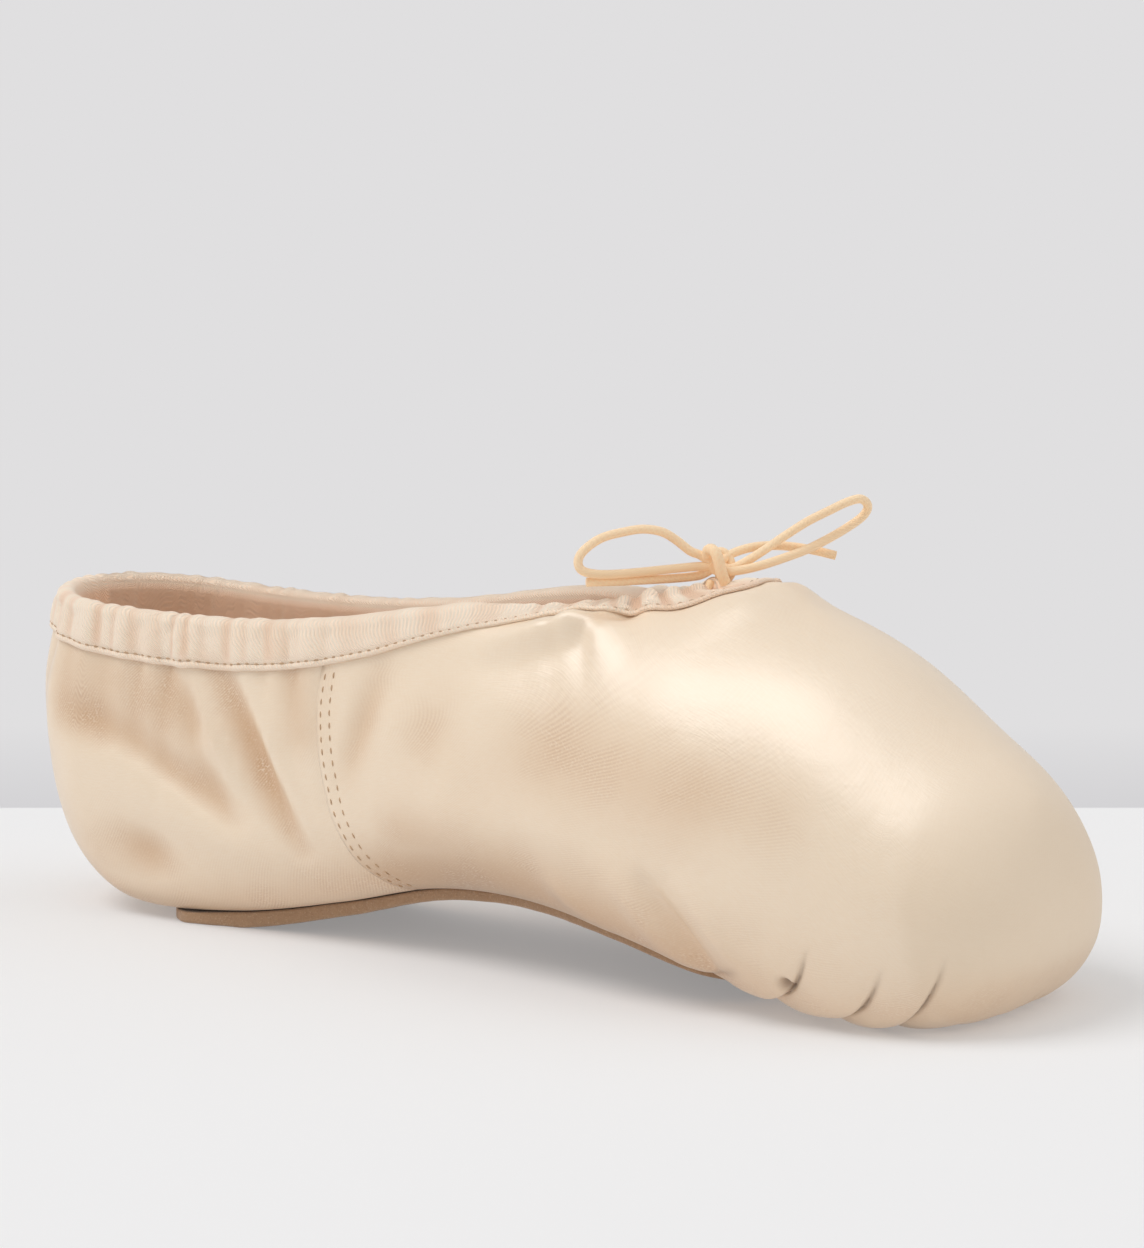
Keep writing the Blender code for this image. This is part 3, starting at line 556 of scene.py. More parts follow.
def suede_finish():
    """Split leather: fuzzy and sparkling on its cut edge, rubbed darker underneath."""
    made = Finish("sole_leather", 0.92, Specular_IOR_Level=0.3, Sheen_Weight=0.25,
                  Sheen_Roughness=0.7)
    nap = made.noise(made.place(0.0011), 5.0, 0.7)
    grit = made.noise(made.place(0.00035), 1.0)
    patches = made.noise(made.place(0.022), 4.0, 0.6)
    edge = made.shade("edge")
    under = made.mix(patches, srgb(134, 108, 84), srgb(104, 83, 65))
    side = made.mix(nap, srgb(158, 122, 90), srgb(192, 154, 118))
    colour = made.mix(edge, under, side)
    colour = made.mix(made.value(grit, 0.60, 0.72, 0.0, 0.55), colour, srgb(205, 174, 140))
    made.colour(colour)
    made.roughness(made.value(grit, 0.5, 0.75, 0.95, 0.55))
    made.bump(nap, 0.0006, 0.6)
    made.bump(grit, 0.0002, 0.5)
    return made.material


def board_finish(name, light, dark, fibre):
    made = Finish(name, 0.88, Specular_IOR_Level=0.25)
    fibres = made.noise(made.weave(fibre * 6, fibre), 4.0, 0.65)
    specks = made.noise(made.place(fibre * 1.6), 2.0)
    colour = made.mix(made.value(fibres, 0.3, 0.7, 0, 1), light, dark)
    made.colour(made.mix(made.value(specks, 0.62, 0.75, 0, 0.5), colour, dark))
    made.roughness(made.value(fibres, 0.3, 0.7, 0.8, 0.95))
    made.bump(fibres, 0.0002, 0.6)
    return made.material


def brass_finish():
    made = Finish("brass_tack", 0.32, Metallic=1.0)
    wear = made.noise(made.place(0.0008), 4.0, 0.6)
    made.colour(made.mix(wear, srgb(212, 176, 96), srgb(150, 112, 56)))
    made.roughness(made.value(wear, 0.3, 0.7, 0.24, 0.46))
    made.bump(wear, 0.00004, 0.4)
    return made.material


def thread_finish():
    made = Finish("thread", 0.6, Specular_IOR_Level=0.4, Sheen_Weight=0.2)
    twist = made.waves(made.weave(0.0003, 0.0002), 0.2)
    made.colour(made.mix(twist, srgb(178, 140, 104), srgb(226, 194, 158)))
    made.roughness(made.value(twist, 0, 1, 0.7, 0.5))
    made.bump(twist, 0.00005, 0.6)
    return made.material


SATIN = satin_finish()
# The last two values of each cloth are the colour and strength of its painted glow.
TAPE = twill_finish("tape", srgb(255, 247, 231), srgb(251, 217, 185), 0.00078,
                    srgb(255, 214, 180), 0.07)
TWILL = twill_finish("twill", srgb(250, 220, 178), srgb(236, 182, 130), 0.00090,
                     srgb(255, 200, 146), 0.06)
CORD_FINISH = cord_finish()
SUEDE = suede_finish()
BOARD = board_finish("insole_fibre", srgb(176, 142, 104), srgb(128, 98, 68), 0.0004)
SHANK = board_finish("shank_board", srgb(128, 92, 60), srgb(84, 58, 38), 0.0005)
PASTE = board_finish("box_paste", srgb(206, 190, 160), srgb(164, 146, 116), 0.0007)
BRASS = brass_finish()
THREAD = thread_finish()


# ---------------------------------------------------------------- camera, light and floor

CAMERA_AT = Vector((0.36480, -0.52590, 0.13701))
CAMERA_TO = Vector((-0.56492, 0.81598, -0.12260))
LENS = 93.69
SHIFT = (0.0331, 0.0257)
BACKDROP = 0.160
FILL = 0.54
# The share of light of its own that keeps the paper's shadows as pale as a lit table's.
PAPER_GLOW = 0.27
# Broad lamps: the direction that each stands in, its width in degrees, its power, and
# whether it lights the cloth or only shines back from it.
SUNS = (
    ("key", (-0.60, -0.55, 1.20), 34, 1.30, True),
    ("rim", (0.70, 0.55, 0.80), 60, 0.40, True),
    ("lustre", (0.16, -0.14, 0.95), 42, 1.45, False),
)


def aimed(name, data, towards):
    """A camera or lamp that looks in a direction."""
    obj = bpy.data.objects.new(name, data)
    obj.rotation_euler = towards.to_track_quat("-Z", "Y").to_euler()
    bpy.context.scene.collection.objects.link(obj)
    return obj


def make_camera():
    data = bpy.data.cameras.new("camera")
    data.lens = LENS
    data.sensor_width = 36.0
    data.shift_x, data.shift_y = SHIFT
    data.clip_start = 0.01
    camera = aimed("camera", data, CAMERA_TO)
    camera.location = CAMERA_AT
    bpy.context.scene.camera = camera


def paper_finish():
    """Pale paper: a lit floor, and behind the shoe an even grey backdrop with a soft band."""
    made = Finish("floor_paper", 0.8, Specular_IOR_Level=0.15)
    made.colour(made.mix(made.noise(made.place(0.3), 2.0), srgb(238, 238, 239),
                         srgb(242, 242, 243)))
    made.bump(made.noise(made.place(0.0008), 2.0), 0.0001, 0.1)
    away = Vector((CAMERA_TO.x, CAMERA_TO.y, 0)).normalized()
    where = made.node("TexCoord").outputs["Object"]
    depth = made.node("VectorMath", where, tuple(away), operation="DOT_PRODUCT").outputs["Value"]
    band = made.value(depth, BACKDROP, BACKDROP * 1.9, 0, 1)
    grey = made.mix(band, srgb(212, 211, 213), srgb(224, 223, 224))
    glow = made.node("Emission", grey)
    paper = made.node("MixShader", PAPER_GLOW, made.shader.outputs[0],
                      made.node("Emission", srgb(240, 240, 241)).outputs[0])
    join = made.node("MixShader", made.value(depth, BACKDROP - 0.001, BACKDROP + 0.001, 0, 1),
                     paper.outputs[0], glow.outputs[0])
    output = made.tree.nodes["Material Output"]
    made.tree.links.new(join.outputs[0], output.inputs["Surface"])
    return made.material


def make_studio():
    """A pale floor that ends at a pale backdrop, an even sky and the broad lamps."""
    world = bpy.data.worlds.new("studio")
    world.use_nodes = True
    tree = world.node_tree
    tree.nodes["Background"].inputs["Color"].default_value = srgb(224, 223, 224)
    # What lights the shoe is dimmer than the pale paper that is seen behind it.
    fill = tree.nodes.new("ShaderNodeBackground")
    fill.inputs["Color"].default_value = (1.0, 0.99, 0.98, 1)
    fill.inputs["Strength"].default_value = FILL
    choice = tree.nodes.new("ShaderNodeMixShader")
    rays = tree.nodes.new("ShaderNodeLightPath")
    tree.links.new(rays.outputs["Is Camera Ray"], choice.inputs[0])
    tree.links.new(fill.outputs[0], choice.inputs[1])
    tree.links.new(tree.nodes["Background"].outputs[0], choice.inputs[2])
    tree.links.new(choice.outputs[0], tree.nodes["World Output"].inputs["Surface"])
    bpy.context.scene.world = world
    bpy.context.scene.view_settings.view_transform = "Standard"
    for name, place, angle, power, lights in SUNS:
        data = bpy.data.lights.new(name, "SUN")
        data.energy = power
        data.angle = math.radians(angle)
        aimed(name, data, -Vector(place)).visible_diffuse = lights
    bpy.ops.mesh.primitive_grid_add(x_subdivisions=8, y_subdivisions=8, size=12)
    floor = bpy.context.object
    floor.name = "floor"
    floor.data.materials.append(paper_finish())


# ---------------------------------------------------------------- the bow's cords

CORD = 0.00175
CORD_SIDES = 12
# Where the bow's cords meet, and how much of the way to it their ends are carried on.
KNOT = Vector((0.1619, 0.0002, 0.0782))
INTO_KNOT = 0.70
# The routes of the bow and of the knot's strands are in millimetres.
BOW_ROUTES = {
    "bow_loop_right": [
        (159.3, -1.5, 80.3), (157.8, -3, 81.2), (155.8, -4.8, 83.3),
        (154, -7, 84.9), (151.6, -9.8, 85.5), (149, -13, 85),
        (146.4, -16.2, 84), (144.4, -18.7, 82), (143.6, -19.9, 80),
        (144.2, -19.7, 78.1), (146.2, -17.9, 77.3), (148.8, -14.8, 77.2),
        (151.5, -11.2, 77.4), (154.2, -7.8, 77.7), (157, -4.4, 78),
        (159.1, -2, 78.2),
    ],
    "bow_tail_right": [
        (159, -0.7, 76.5), (157.1, -2.6, 76.1), (154.6, -5.8, 75.9),
        (151.8, -9.4, 75.8), (149, -13, 75.7), (146.4, -16.2, 75.7),
        (144.4, -18.3, 75.7),
    ],
    "bow_loop_left": [
        (164.2, 1.8, 77.8), (165.9, 4.2, 79), (168.2, 7.4, 81.2),
        (170.7, 10.9, 83.8), (173.3, 14.6, 86.3), (176.1, 18, 88.3),
        (178.5, 20.9, 89.9), (180.2, 23.2, 90.4), (180.7, 25, 88.9),
        (179.5, 25.1, 86.9), (177.7, 22.6, 84.9), (175.8, 18.5, 82.9),
        (173.7, 13.7, 81), (171.4, 9, 79.6), (169.3, 4.6, 78.5),
        (166.8, 1.6, 77.7), (164.4, -0.1, 77.4),
    ],
    "bow_tail_left": [
        (162.6, 2.8, 80), (163.8, 6.2, 81), (165.4, 9.8, 81.5),
        (167.6, 13.2, 81.5), (170.3, 16, 81.1), (173.4, 18.2, 80.4),
        (176.4, 20.3, 79.5),
    ],
}
LOOP_LENGTHS = {"right": 0.058, "left": 0.070}
# Each strand of the knot: its thickness over the cord's, and its route.
KNOT_STRANDS = (
    (1.25, [
        (160.4, -1, 80.2), (161, -1.6, 81.3), (162.1, -2, 81.6),
        (163.2, -2.2, 80.7), (163.8, -2.1, 79), (164.2, -1.8, 77.1),
        (164.6, -1, 75.2), (165, 0, 73.6), (164.9, 0.8, 72.3),
    ]),
    (1.55, [
        (161.4, 1.4, 78.7), (161.9, 0.2, 78.3), (162.4, -1, 77.9),
    ]),
    (1.05, [
        (160.8, 1, 80.2), (161.2, 2.2, 80.8), (162.2, 2.8, 80.4),
        (163.2, 3, 78.8), (163.6, 2.6, 76.8), (163, 1.4, 75.4),
    ]),
    (1.00, [
        (162.8, 1, 71.8), (162.5, 0.8, 74.1), (162.1, 0.6, 77.6),
    ]),
)


def rod_rings(path, radius, sides=CORD_SIDES):
    """Rings of points round a path, turned as little as possible from one to the next."""
    tangent = np.gradient(path, axis=0)
    tangent /= np.linalg.norm(tangent, axis=1, keepdims=True)
    side = np.cross(tangent[0], [0.3, 0.2, 1.0])
    turn = np.linspace(0, 2 * math.pi, sides, endpoint=False)
    radius = np.broadcast_to(radius, len(path))
    rings = []
    for point, along, size in zip(path, tangent, radius):
        side = side - along * (side @ along)
        side /= np.linalg.norm(side)
        up = np.cross(along, side)
        rings.append(point + size * (np.cos(turn)[:, None] * side + np.sin(turn)[:, None] * up))
    return np.array(rings)


def rods(name, many, finish, edges=None):
    """One mesh of closed rods, each an array of rings, with arc lengths as coordinates."""
    faces, uvs, base = [], [], 0
    for rings in many:
        count, sides = rings.shape[:2]
        ring = np.concatenate([rings, rings[:, :1]], 1)
        uv = np.stack([arc(ring, 0), arc(ring, 1)], -1).reshape(-1, 2)
        corners = quads(count, sides + 1)[:, [0, 3, 2, 1]]
        row, column = np.divmod(corners, sides + 1)
        faces += (base + row * sides + column % sides).tolist()
        uvs.append(uv[corners.ravel()])
        for row, order in ((0, range(sides - 1, -1, -1)), (count - 1, range(sides))):
            faces.append([base + row * sides + k for k in order])
            uvs.append((rings[row] - rings[row].mean(0))[order, :2])
        base += count * sides
    mesh = bpy.data.meshes.new(name)
    points = np.vstack([rings.reshape(-1, 3) for rings in many])
    mesh.from_pydata((points + [HEEL_X, 0, 0]).tolist(), [], faces)
    layer = mesh.uv_layers.new(name="cloth")
    layer.data.foreach_set("uv", np.vstack(uvs).astype(np.float32).ravel())
    if edges is not None:
        attribute = mesh.attributes.new("edge", "FLOAT", "POINT")
        attribute.data.foreach_set("value", edges.ravel().astype(np.float32))
    mesh.shade_smooth()
    mesh.set_sharp_from_angle(angle=math.radians(50))
    return link(name, mesh, finish)


def make_bow():
    """The knot with its wraps, and two loops and two cut tails."""
    strands = [rod_rings(smooth_route(metres(route), 0.0004), CORD / 2 * size)
               for size, route in KNOT_STRANDS]
    knot = rods("knot", strands, CORD_FINISH)
    rigid(knot, "bow_knot")
    pieces = {}
    for name, route in BOW_ROUTES.items():
        route = metres(route)
        # The ends that start at the knot are carried on into it.
        ends = route[:1] if "tail" in name else route[[0, -1]]
        inner = [tuple(Vector(end).lerp(KNOT, INTO_KNOT)) for end in ends]
        path = smooth_route([inner[0], *route, *inner[1:]], 0.0005)
        piece = rods(name.replace("bow", "cord"), [rod_rings(path, CORD / 2)], CORD_FINISH)
        rigid(piece, name)
        pieces[name] = (piece, path + [HEEL_X, 0, 0])
    for side, length in LOOP_LENGTHS.items():
        loop, path = pieces[f"bow_loop_{side}"]


# ---------------------------------------------------------------- folds of the upper

# How far the binding reaches down from the topline: over the heel and sides, beside the
# throat, where the vamp swells up against it, and in front of the throat.
TAPE_WIDTHS = metres([
    (0, 5.6), (88, 5.5), (100, 4.2), (113, 2.5), (124, 2), (138, 1.8), (146, 1.4), (152, 2.2),
    (157, 5.3), (161, 9.3), (163, 11.8),
])
# The vamp's swell in front of the binding: how high it is, how far off and how broad.
CREST_HEIGHTS = metres([
    (112, 0), (124, 0.8), (132, 2.4), (140, 3.8), (145, 4.2), (149, 3.2), (154, 1.3), (166, 0.9),
    (175, 2.4),
])
CREST_AT = (0.0050, 0.0115)
CREST_WIDTH = (0.0036, 0.0062)
# The pleats' lobes, the steps between them and the creases: how deep each is.
TUCK = 0.0013
SAW = 0.0007
CREASE = 0.0008
RIM_POINTS = 640
# Each pleat of the right (-1) and left side: where its crease leaves the feather edge, as u,
# how far up it runs, as v, and how deep it is.
PLEATS = {
    -1: ((1.925, 0.20, 0.35), (2.02, 0.33, 1.0), (2.25, 0.34, 1.0), (2.41, 0.40, 1.0),
         (2.60, 0.10, 0.5), (2.78, 0.09, 0.5), (2.94, 0.20, 0.35)),
    1: ((1.93, 0.22, 0.4), (2.06, 0.32, 1.0), (2.22, 0.34, 0.9), (2.38, 0.38, 1.0),
        (2.55, 0.14, 0.6), (2.72, 0.10, 0.5), (2.88, 0.16, 0.4)),
}
# The gap left in the fold where the first pleat of the right side turns under, sunk in and
# darkened with painted shade.
PLEAT_HOLLOW = (0.1988, 0.0085, 0.0011, 0.0024)
# Soft ridges (+) and hollows (-) of each quarter and vamp side: the two ends in (x, z), the
# width and the height, in millimetres. The right side is the first list.
DRAPES = {
    -1: [
        ((52, 55), (67, 31), 1.9, 1.3),
        ((48, 54), (64, 24), 3.4, -1.3),
        ((60, 54), (83, 20), 3.4, -2.6),
        ((67, 53), (86, 23), 2.2, 1.3),
        ((16, 44), (38, 38), 4.6, -1.7),
        ((38, 38), (66, 24), 4, -1.9),
        ((30, 34), (72, 17), 6, 1.2),
        ((55, 42), (62, 34), 3.6, 1.3),
        ((36, 17), (50, 13), 4.5, -1.3),
        ((101, 56), (95, 36), 3.4, -1.2),
        ((118, 52), (113, 40), 6, -0.7),
        ((146, 22), (156, 15), 3, 1),
        ((163, 26), (175, 11), 3.2, 1.4),
        ((171, 24), (183, 8), 2, -1.8),
        ((180, 24), (190, 10), 2.6, 1.2),
        ((130, 40), (160, 48), 9, -0.6),
    ],
    1: [
        ((50, 55), (64, 29), 2.2, 1.3),
        ((58, 53), (78, 23), 3.4, -2.2),
        ((64, 52), (82, 25), 2.4, 1.2),
        ((18, 44), (60, 27), 4.8, -1.6),
        ((26, 36), (64, 20), 5.8, 1.1),
        ((30, 52), (46, 36), 4, -1.1),
        ((104, 56), (96, 34), 3.4, -1.2),
        ((152, 21), (160, 14), 3.2, 1),
        ((168, 23), (181, 9), 2.4, -1.6),
        ((176, 24), (188, 10), 2.6, 1.1),
        ((134, 40), (158, 46), 9, -0.6),
    ],
}


# Broad areas of painted shade, tinted tan: the two ends in (x, z) and the width, in millimetres,
# and the strength.
PAINTED_SHADE_AREAS = [
    ((22, 50), (46, 47), 8.5, 0.42), ((44, 44), (58, 40), 6, 0.18),
    ((79, 54), (83, 43), 4.5, 0.45), ((150, 47), (178, 40), 9, 0.36),
    ((186, 42), (197, 40), 7, 0.24), ((110, 25), (140, 19), 7, 0.50),
    ((24, 12), (40, 14), 7, 0.28),
]


def rim_line():
    """The topline, from the heel along the left side to the throat and back on the right."""
    throat = float(column_at(THROAT, 1.0))
    body = 1 + (throat - 1) * np.sin(np.linspace(0, math.pi / 2, 1200))
    u = np.concatenate([np.linspace(0, 1, 400)[:-1], body])
    half = surface(u, np.ones(len(u)))
    loop = np.vstack([half, (half * [1, -1, 1])[-2::-1]])
    reach = reach_along(loop)
    even = np.linspace(0, reach[-1], RIM_POINTS + 1)
    return sampled(loop, reach, even), even


RIM, RIM_ARC = rim_line()
RIM_HALF = RIM_ARC[-1] / 2
RIM_STEP = RIM_ARC[1]
RIM_ALONG = np.roll(RIM[:-1], -1, 0) - np.roll(RIM[:-1], 1, 0)
RIM_ALONG /= np.linalg.norm(RIM_ALONG, axis=1, keepdims=True)


def rim_distance(points):
    """(distance to the topline, signed run along it from the throat) of each point."""
    flat = points.reshape(-1, 3)
    closest = np.empty(len(flat), int)
    for start in range(0, len(flat), 4000):
        part = flat[start:start + 4000]
        gap = np.linalg.norm(part[:, None] - RIM[None, :-1], axis=-1)
        closest[start:start + 4000] = gap.argmin(1)
    offset = flat - RIM[closest]
    past = np.sum(offset * RIM_ALONG[closest], axis=1)
    near = np.sqrt(np.maximum(np.sum(offset ** 2, axis=1) - past ** 2, 0))
    run = RIM_ARC[closest] - RIM_HALF + np.clip(past, -RIM_STEP, RIM_STEP)
    return near.reshape(points.shape[:-1]), run.reshape(points.shape[:-1])


def ripple(run, length, seed):
    """An uneven wave along a line, about from -1 to 1."""
    drift = 1.1 * np.sin(run / (length * 0.83) + seed)
    drift = drift + 0.8 * np.sin(run / (length * 0.47) + 2 * seed)
    strength = 0.65 + 0.35 * np.sin(run / (length * 0.61) + 3.1 * seed)
    return np.sin(2 * math.pi * run / length + drift) * strength


def off_line(points, start, end):
    """(distance in mm from the line between two (x, z) places, share of the way along it)."""
    line = np.subtract(end, start)
    offset = 1000 * points[..., [0, 2]] - np.array(start)
    share = np.clip(offset @ line / (line @ line), 0, 1)
    return np.linalg.norm(offset - share[..., None] * line, axis=-1), share


def painted_shade_areas(points):
    """Painted shade: a tan tint over broad areas where the satin turns away from the light."""
    total = np.zeros(points.shape[:-1])
    for start, end, width, strength in PAINTED_SHADE_AREAS:
        total += strength * hump(off_line(points, start, end)[0] / width)
    return total


def drapes(points, side):
    total = np.zeros(points.shape[:-1])
    for which, folds in DRAPES.items():
        for start, end, width, height in folds:
            away, share = off_line(points, start, end)
            swell = 0.35 + 0.65 * np.sin(math.pi * share)
            total += (side == which) * height * hump(away / width) * swell
    return total / 1000 * ease(np.abs(points[..., 1]) / 0.007)


def pleats(points, u, v, side):
    """(depth, crease mask with its painted shade) of the lobes between creases that run in under
    the tip of the sole.

    Each lobe swells and then ends in a step, where the next one comes out from under it.
    """
    depth = np.zeros(u.shape)
    crease_and_shade = np.zeros(u.shape)
    lean = u - 0.16 * np.clip(v, 0, 1) ** 1.2
    for which, folds in PLEATS.items():
        edges = np.array([1.78, *(fold[0] for fold in folds), 3.06 if which < 0 else 3.01])
        for number, (middle, height, strength) in enumerate(folds, 1):
            here = side == which
            fade = strength * (1 - ease((v - 0.02) / height))
            behind = (middle - lean) / (middle - edges[number - 1])
            ahead = (lean - middle) / (edges[number + 1] - middle)
            near = np.where(lean < middle, behind, ahead)
            slope = np.clip(1 - 2 * near, 0, 1) ** 2
            step = np.where(lean < middle, -1, 1) * np.clip(1 - near, 0, 1)
            depth += here * fade * (TUCK * slope + SAW * step)
            line = np.exp(-np.square((lean - middle) / 0.008))
            crease_and_shade += here * line * strength * (1 - ease((v - 0.5 * height) / (0.5 * height)))
    start = ease((u - 1.80) / 0.15)
    along, up, size, deep = PLEAT_HOLLOW
    off = np.hypot(points[..., 0] - along, points[..., 2] - up)
    # The gap is sunk in and darkened with painted shade.
    hollow = hump(off / size) * (side < 0) * (v > 0)
    return depth * start + CREASE * crease_and_shade * start + deep * hollow, crease_and_shade * start + hollow


# The satin's gathers at the throat and its puckers over the heel: how high they are, how far
# apart, their seed and how far they reach. Then the dimple beside the throat: its distance from
# the heel and from the topline, its size and its depth.
GATHERS = (0.0006, 0.0068, 0.4, 0.0075)
PUCKERS = (0.0008, 0.0098, 1.7, 0.0130)
DIMPLE = (0.1515, 0.0035, 0.0028, 0.0018)


def gathered(run, beyond, height, pitch, seed, reach):
    return height * ripple(run, pitch, seed) * np.exp(-beyond / reach)


def satin_relief(points, u, v, side):
    """How far the satin stands out from the last, its painted shade (1 = deep in a fold) and the
    mask of its creases, which also sets their painted shade.
    """
    near, run = rim_distance(points)
    x, z = points[..., 0], points[..., 2]
    front = ease((x - 0.128) / 0.026) * (v > 0)
    heel = 1 - ease((x - 0.070) / 0.030)
    ahead = ease((x - 0.1475) / 0.008)
    crest_at = CREST_AT[0] + (CREST_AT[1] - CREST_AT[0]) * ahead
    crest_width = CREST_WIDTH[0] + (CREST_WIDTH[1] - CREST_WIDTH[0]) * ahead
    crest = through(CREST_HEIGHTS, x) * (v > 0.3) * hump((near - crest_at) / crest_width)
    sunk = -0.0006 * front * hump(near / 0.005)
    beyond = np.clip(near - 0.004, 0, None)
    pulled = front * gathered(run, beyond, *GATHERS) + heel * gathered(run, beyond, *PUCKERS)
    along, down, size, deep = DIMPLE
    pulled -= deep * hump(np.hypot(x - along, near - down) / size) * (v > 0.5)
    tucks, crease_and_shade = pleats(points, u, v, side)
    waves = ripple(x * 0.8 + z * 0.6, 0.034, 2.2)
    heave = 0.0005 * waves * ease(v / 0.3) * ease((near - 0.01) / 0.01)
    soft = pulled + drapes(points, side)
    # Painted shade: deeper where the satin sinks in, halved at the front, plus the broad painted
    # shade areas.
    fold = np.clip(-soft / 0.0022, 0, 1) * (1 - front * 0.5) + painted_shade_areas(points) * (v > 0)
    fold = np.clip(fold, 0, 1)
    return crest + sunk + soft + heave - tucks, fold, crease_and_shade


def dull_share(points):
    """1 on the front of the toe, where the satin is pulled flat and rubbed."""
    x, y, z = (points[..., k] for k in range(3))
    front = x + 0.12 * (z - 0.03) + 0.16 * np.abs(y)
    return ease((front - 0.2235) / 0.0035) * ease((0.052 - z) / 0.02)


def two_sided(u, v):
    """Columns of the left half, then of the right half back again, and each one's side."""
    right = slice(-2, None, -1)
    whole_u = np.hstack([u, u[:, right]])
    whole_v = np.hstack([v, v[:, right]])
    side = np.hstack([np.ones(u.shape), -np.ones(u[:, right].shape)])
    return whole_u, whole_v, side


def rows_of(margin, wall):
    """Rows of v, close together round the feather edge and at the topline."""
    low = -np.linspace(1, 0, margin)[:-1] ** 1.2
    rise = np.linspace(0, 1, wall)
    return np.concatenate([low, 0.55 * rise + 0.45 * rise ** 1.5])


def vamp_columns(rows, body, fore, toe, extra=0.0):
    """Columns from the side seam to the middle of the toe, close together at the throat."""
    seam = column_at(through(SEAM, np.clip(rows, 0, 1)) + extra, rows)
    throat = column_at(THROAT, rows)
    even = np.linspace(0, 1, body)[None, :]
    bunched = np.sin(even * math.pi / 2)
    # Only the rows near the topline need columns close together at the throat's tight bend.
    rear = even + (bunched - even) * ease((rows - 0.55) / 0.45)[:, None]
    front = np.linspace(0, 1, fore + 1)[1:]
    cap = 2 + np.linspace(0, 1, toe + 1)[1:]
    u = np.hstack([
        seam[:, None] + (throat - seam)[:, None] * rear,
        throat[:, None] + (2 - throat)[:, None] * front[None, :],
        np.repeat(cap[None, :], len(rows), 0),
    ])
    return two_sided(u, np.repeat(rows[:, None], u.shape[1], 1))


SATIN_THICKNESS = 0.00045
SEAM_STEP = 0.0006
SEAM_UNDER = 0.0030
ARCH_SHADE = 0.30
# How far in front of the seam each of its two rows of stitches runs.
SEAM_ROWS = (0.0012, 0.0034)


def make_vamp_satin():
    u, v, side = vamp_columns(rows_of(44, 110), 90, 44, 170)
    base, normal = laid(u, v, side)
    relief, fold, crease_and_shade = satin_relief(base, u, v, side)
    seam_gap = base[..., 0] - through(SEAM, np.clip(v, 0, 1))
    for row in SEAM_ROWS:
        relief -= 0.00016 * hump((seam_gap - row) / 0.0004) * (v > 0)
    relief -= 0.0002 * hump(seam_gap / 0.0005)
    grid = base + normal * relief[..., None]
    # Darker towards the bottom; painted shade where the satin faces down, and more of it under
    # the arch.
    low_darkening_and_arch_shade = 0.35 * ease((0.0012 - base[..., 2]) / 0.001)
    under = ease(-normal[..., 2] / 0.7) * (1 - 0.6 * ease((base[..., 0] - 0.165) / 0.04))
    fold = np.maximum(fold, under)
    low_darkening_and_arch_shade += ARCH_SHADE * under * hump((base[..., 0] - 0.122) / 0.030)
    shades = {"dull": dull_share(base), "low_darkening_and_arch_shade": low_darkening_and_arch_shade, "fold": fold, "crease_and_shade": crease_and_shade}
    flex(cloth("vamp_cover", grid, SATIN, SATIN_THICKNESS, shades), "satin", "vamp_satin")
    return grid


def quarter_columns(rows, count, beyond):
    seam = column_at(through(SEAM, np.clip(rows, 0, 1)) + beyond, rows)
    u = seam[:, None] * np.linspace(0, 1, count)[None, :] ** 1.05
    return u, np.repeat(rows[:, None], count, 1)


def make_quarter_satin(side, word):
    u, v = quarter_columns(rows_of(22, 96), 130, SEAM_UNDER)
    base, normal = laid(u, v)
    # The grid is the left quarter's, and its folds are looked up on the side that it covers.
    base_here = base * [1, side, 1]
    relief, fold, crease_and_shade = satin_relief(base_here, u, v, np.full(u.shape, side))
    seam_gap = base[..., 0] - through(SEAM, np.clip(v, 0, 1))
    relief -= SEAM_STEP * ease((seam_gap + 0.0006) / 0.0010)
    relief -= 0.0005 * hump(np.linalg.norm(base[..., :2] - base[:, :1, :2], axis=-1) / 0.0009)
    normal[:, 0, 1] = 0.0
    grid = base + normal * relief[..., None]
    grid[..., 1] = np.maximum(grid[..., 1], 0.00008)
    # A darker band low on the quarter, and painted shade where the satin faces down.
    low_darkening_and_arch_shade = 0.3 * hump((base[..., 2] - 0.004) / 0.002)
    fold = np.maximum(fold, 0.6 * ease(-normal[..., 2] / 0.7))
    shades = {"dull": 0 * u, "low_darkening_and_arch_shade": low_darkening_and_arch_shade, "fold": fold, "crease_and_shade": crease_and_shade}
    grid, shades = for_side(side, grid, shades)
    piece = cloth(f"quarter_cover_{word}", grid, SATIN, SATIN_THICKNESS, shades)
    flex(piece, "satin", f"quarter_satin_{word}")
    return grid


# ---------------------------------------------------------------- linings and box

LINING_THICKNESS = 0.0006
BOX_THICKNESS = 0.0016
# How deep under the last's surface each layer lies, and the room the lining leaves for the box
# and for the platform disc.
BOX_DEPTH = 0.0012
VAMP_LINING_DEPTH = 0.00165
QUARTER_LINING_DEPTH = 0.0015
BOX_ROOM = 0.0030
PLATFORM_ROOM = 0.0060


def box_start(v):
    return 0.141 + 0.041 * ease(v)


def lining_depth(x, u, v):
    over_box = ease((x - box_start(v) + 0.009) / 0.007)
    over_platform = ease((u - 2.35) / 0.5) * ease(v / 0.2)
    return VAMP_LINING_DEPTH + over_box * BOX_ROOM + over_platform * PLATFORM_ROOM


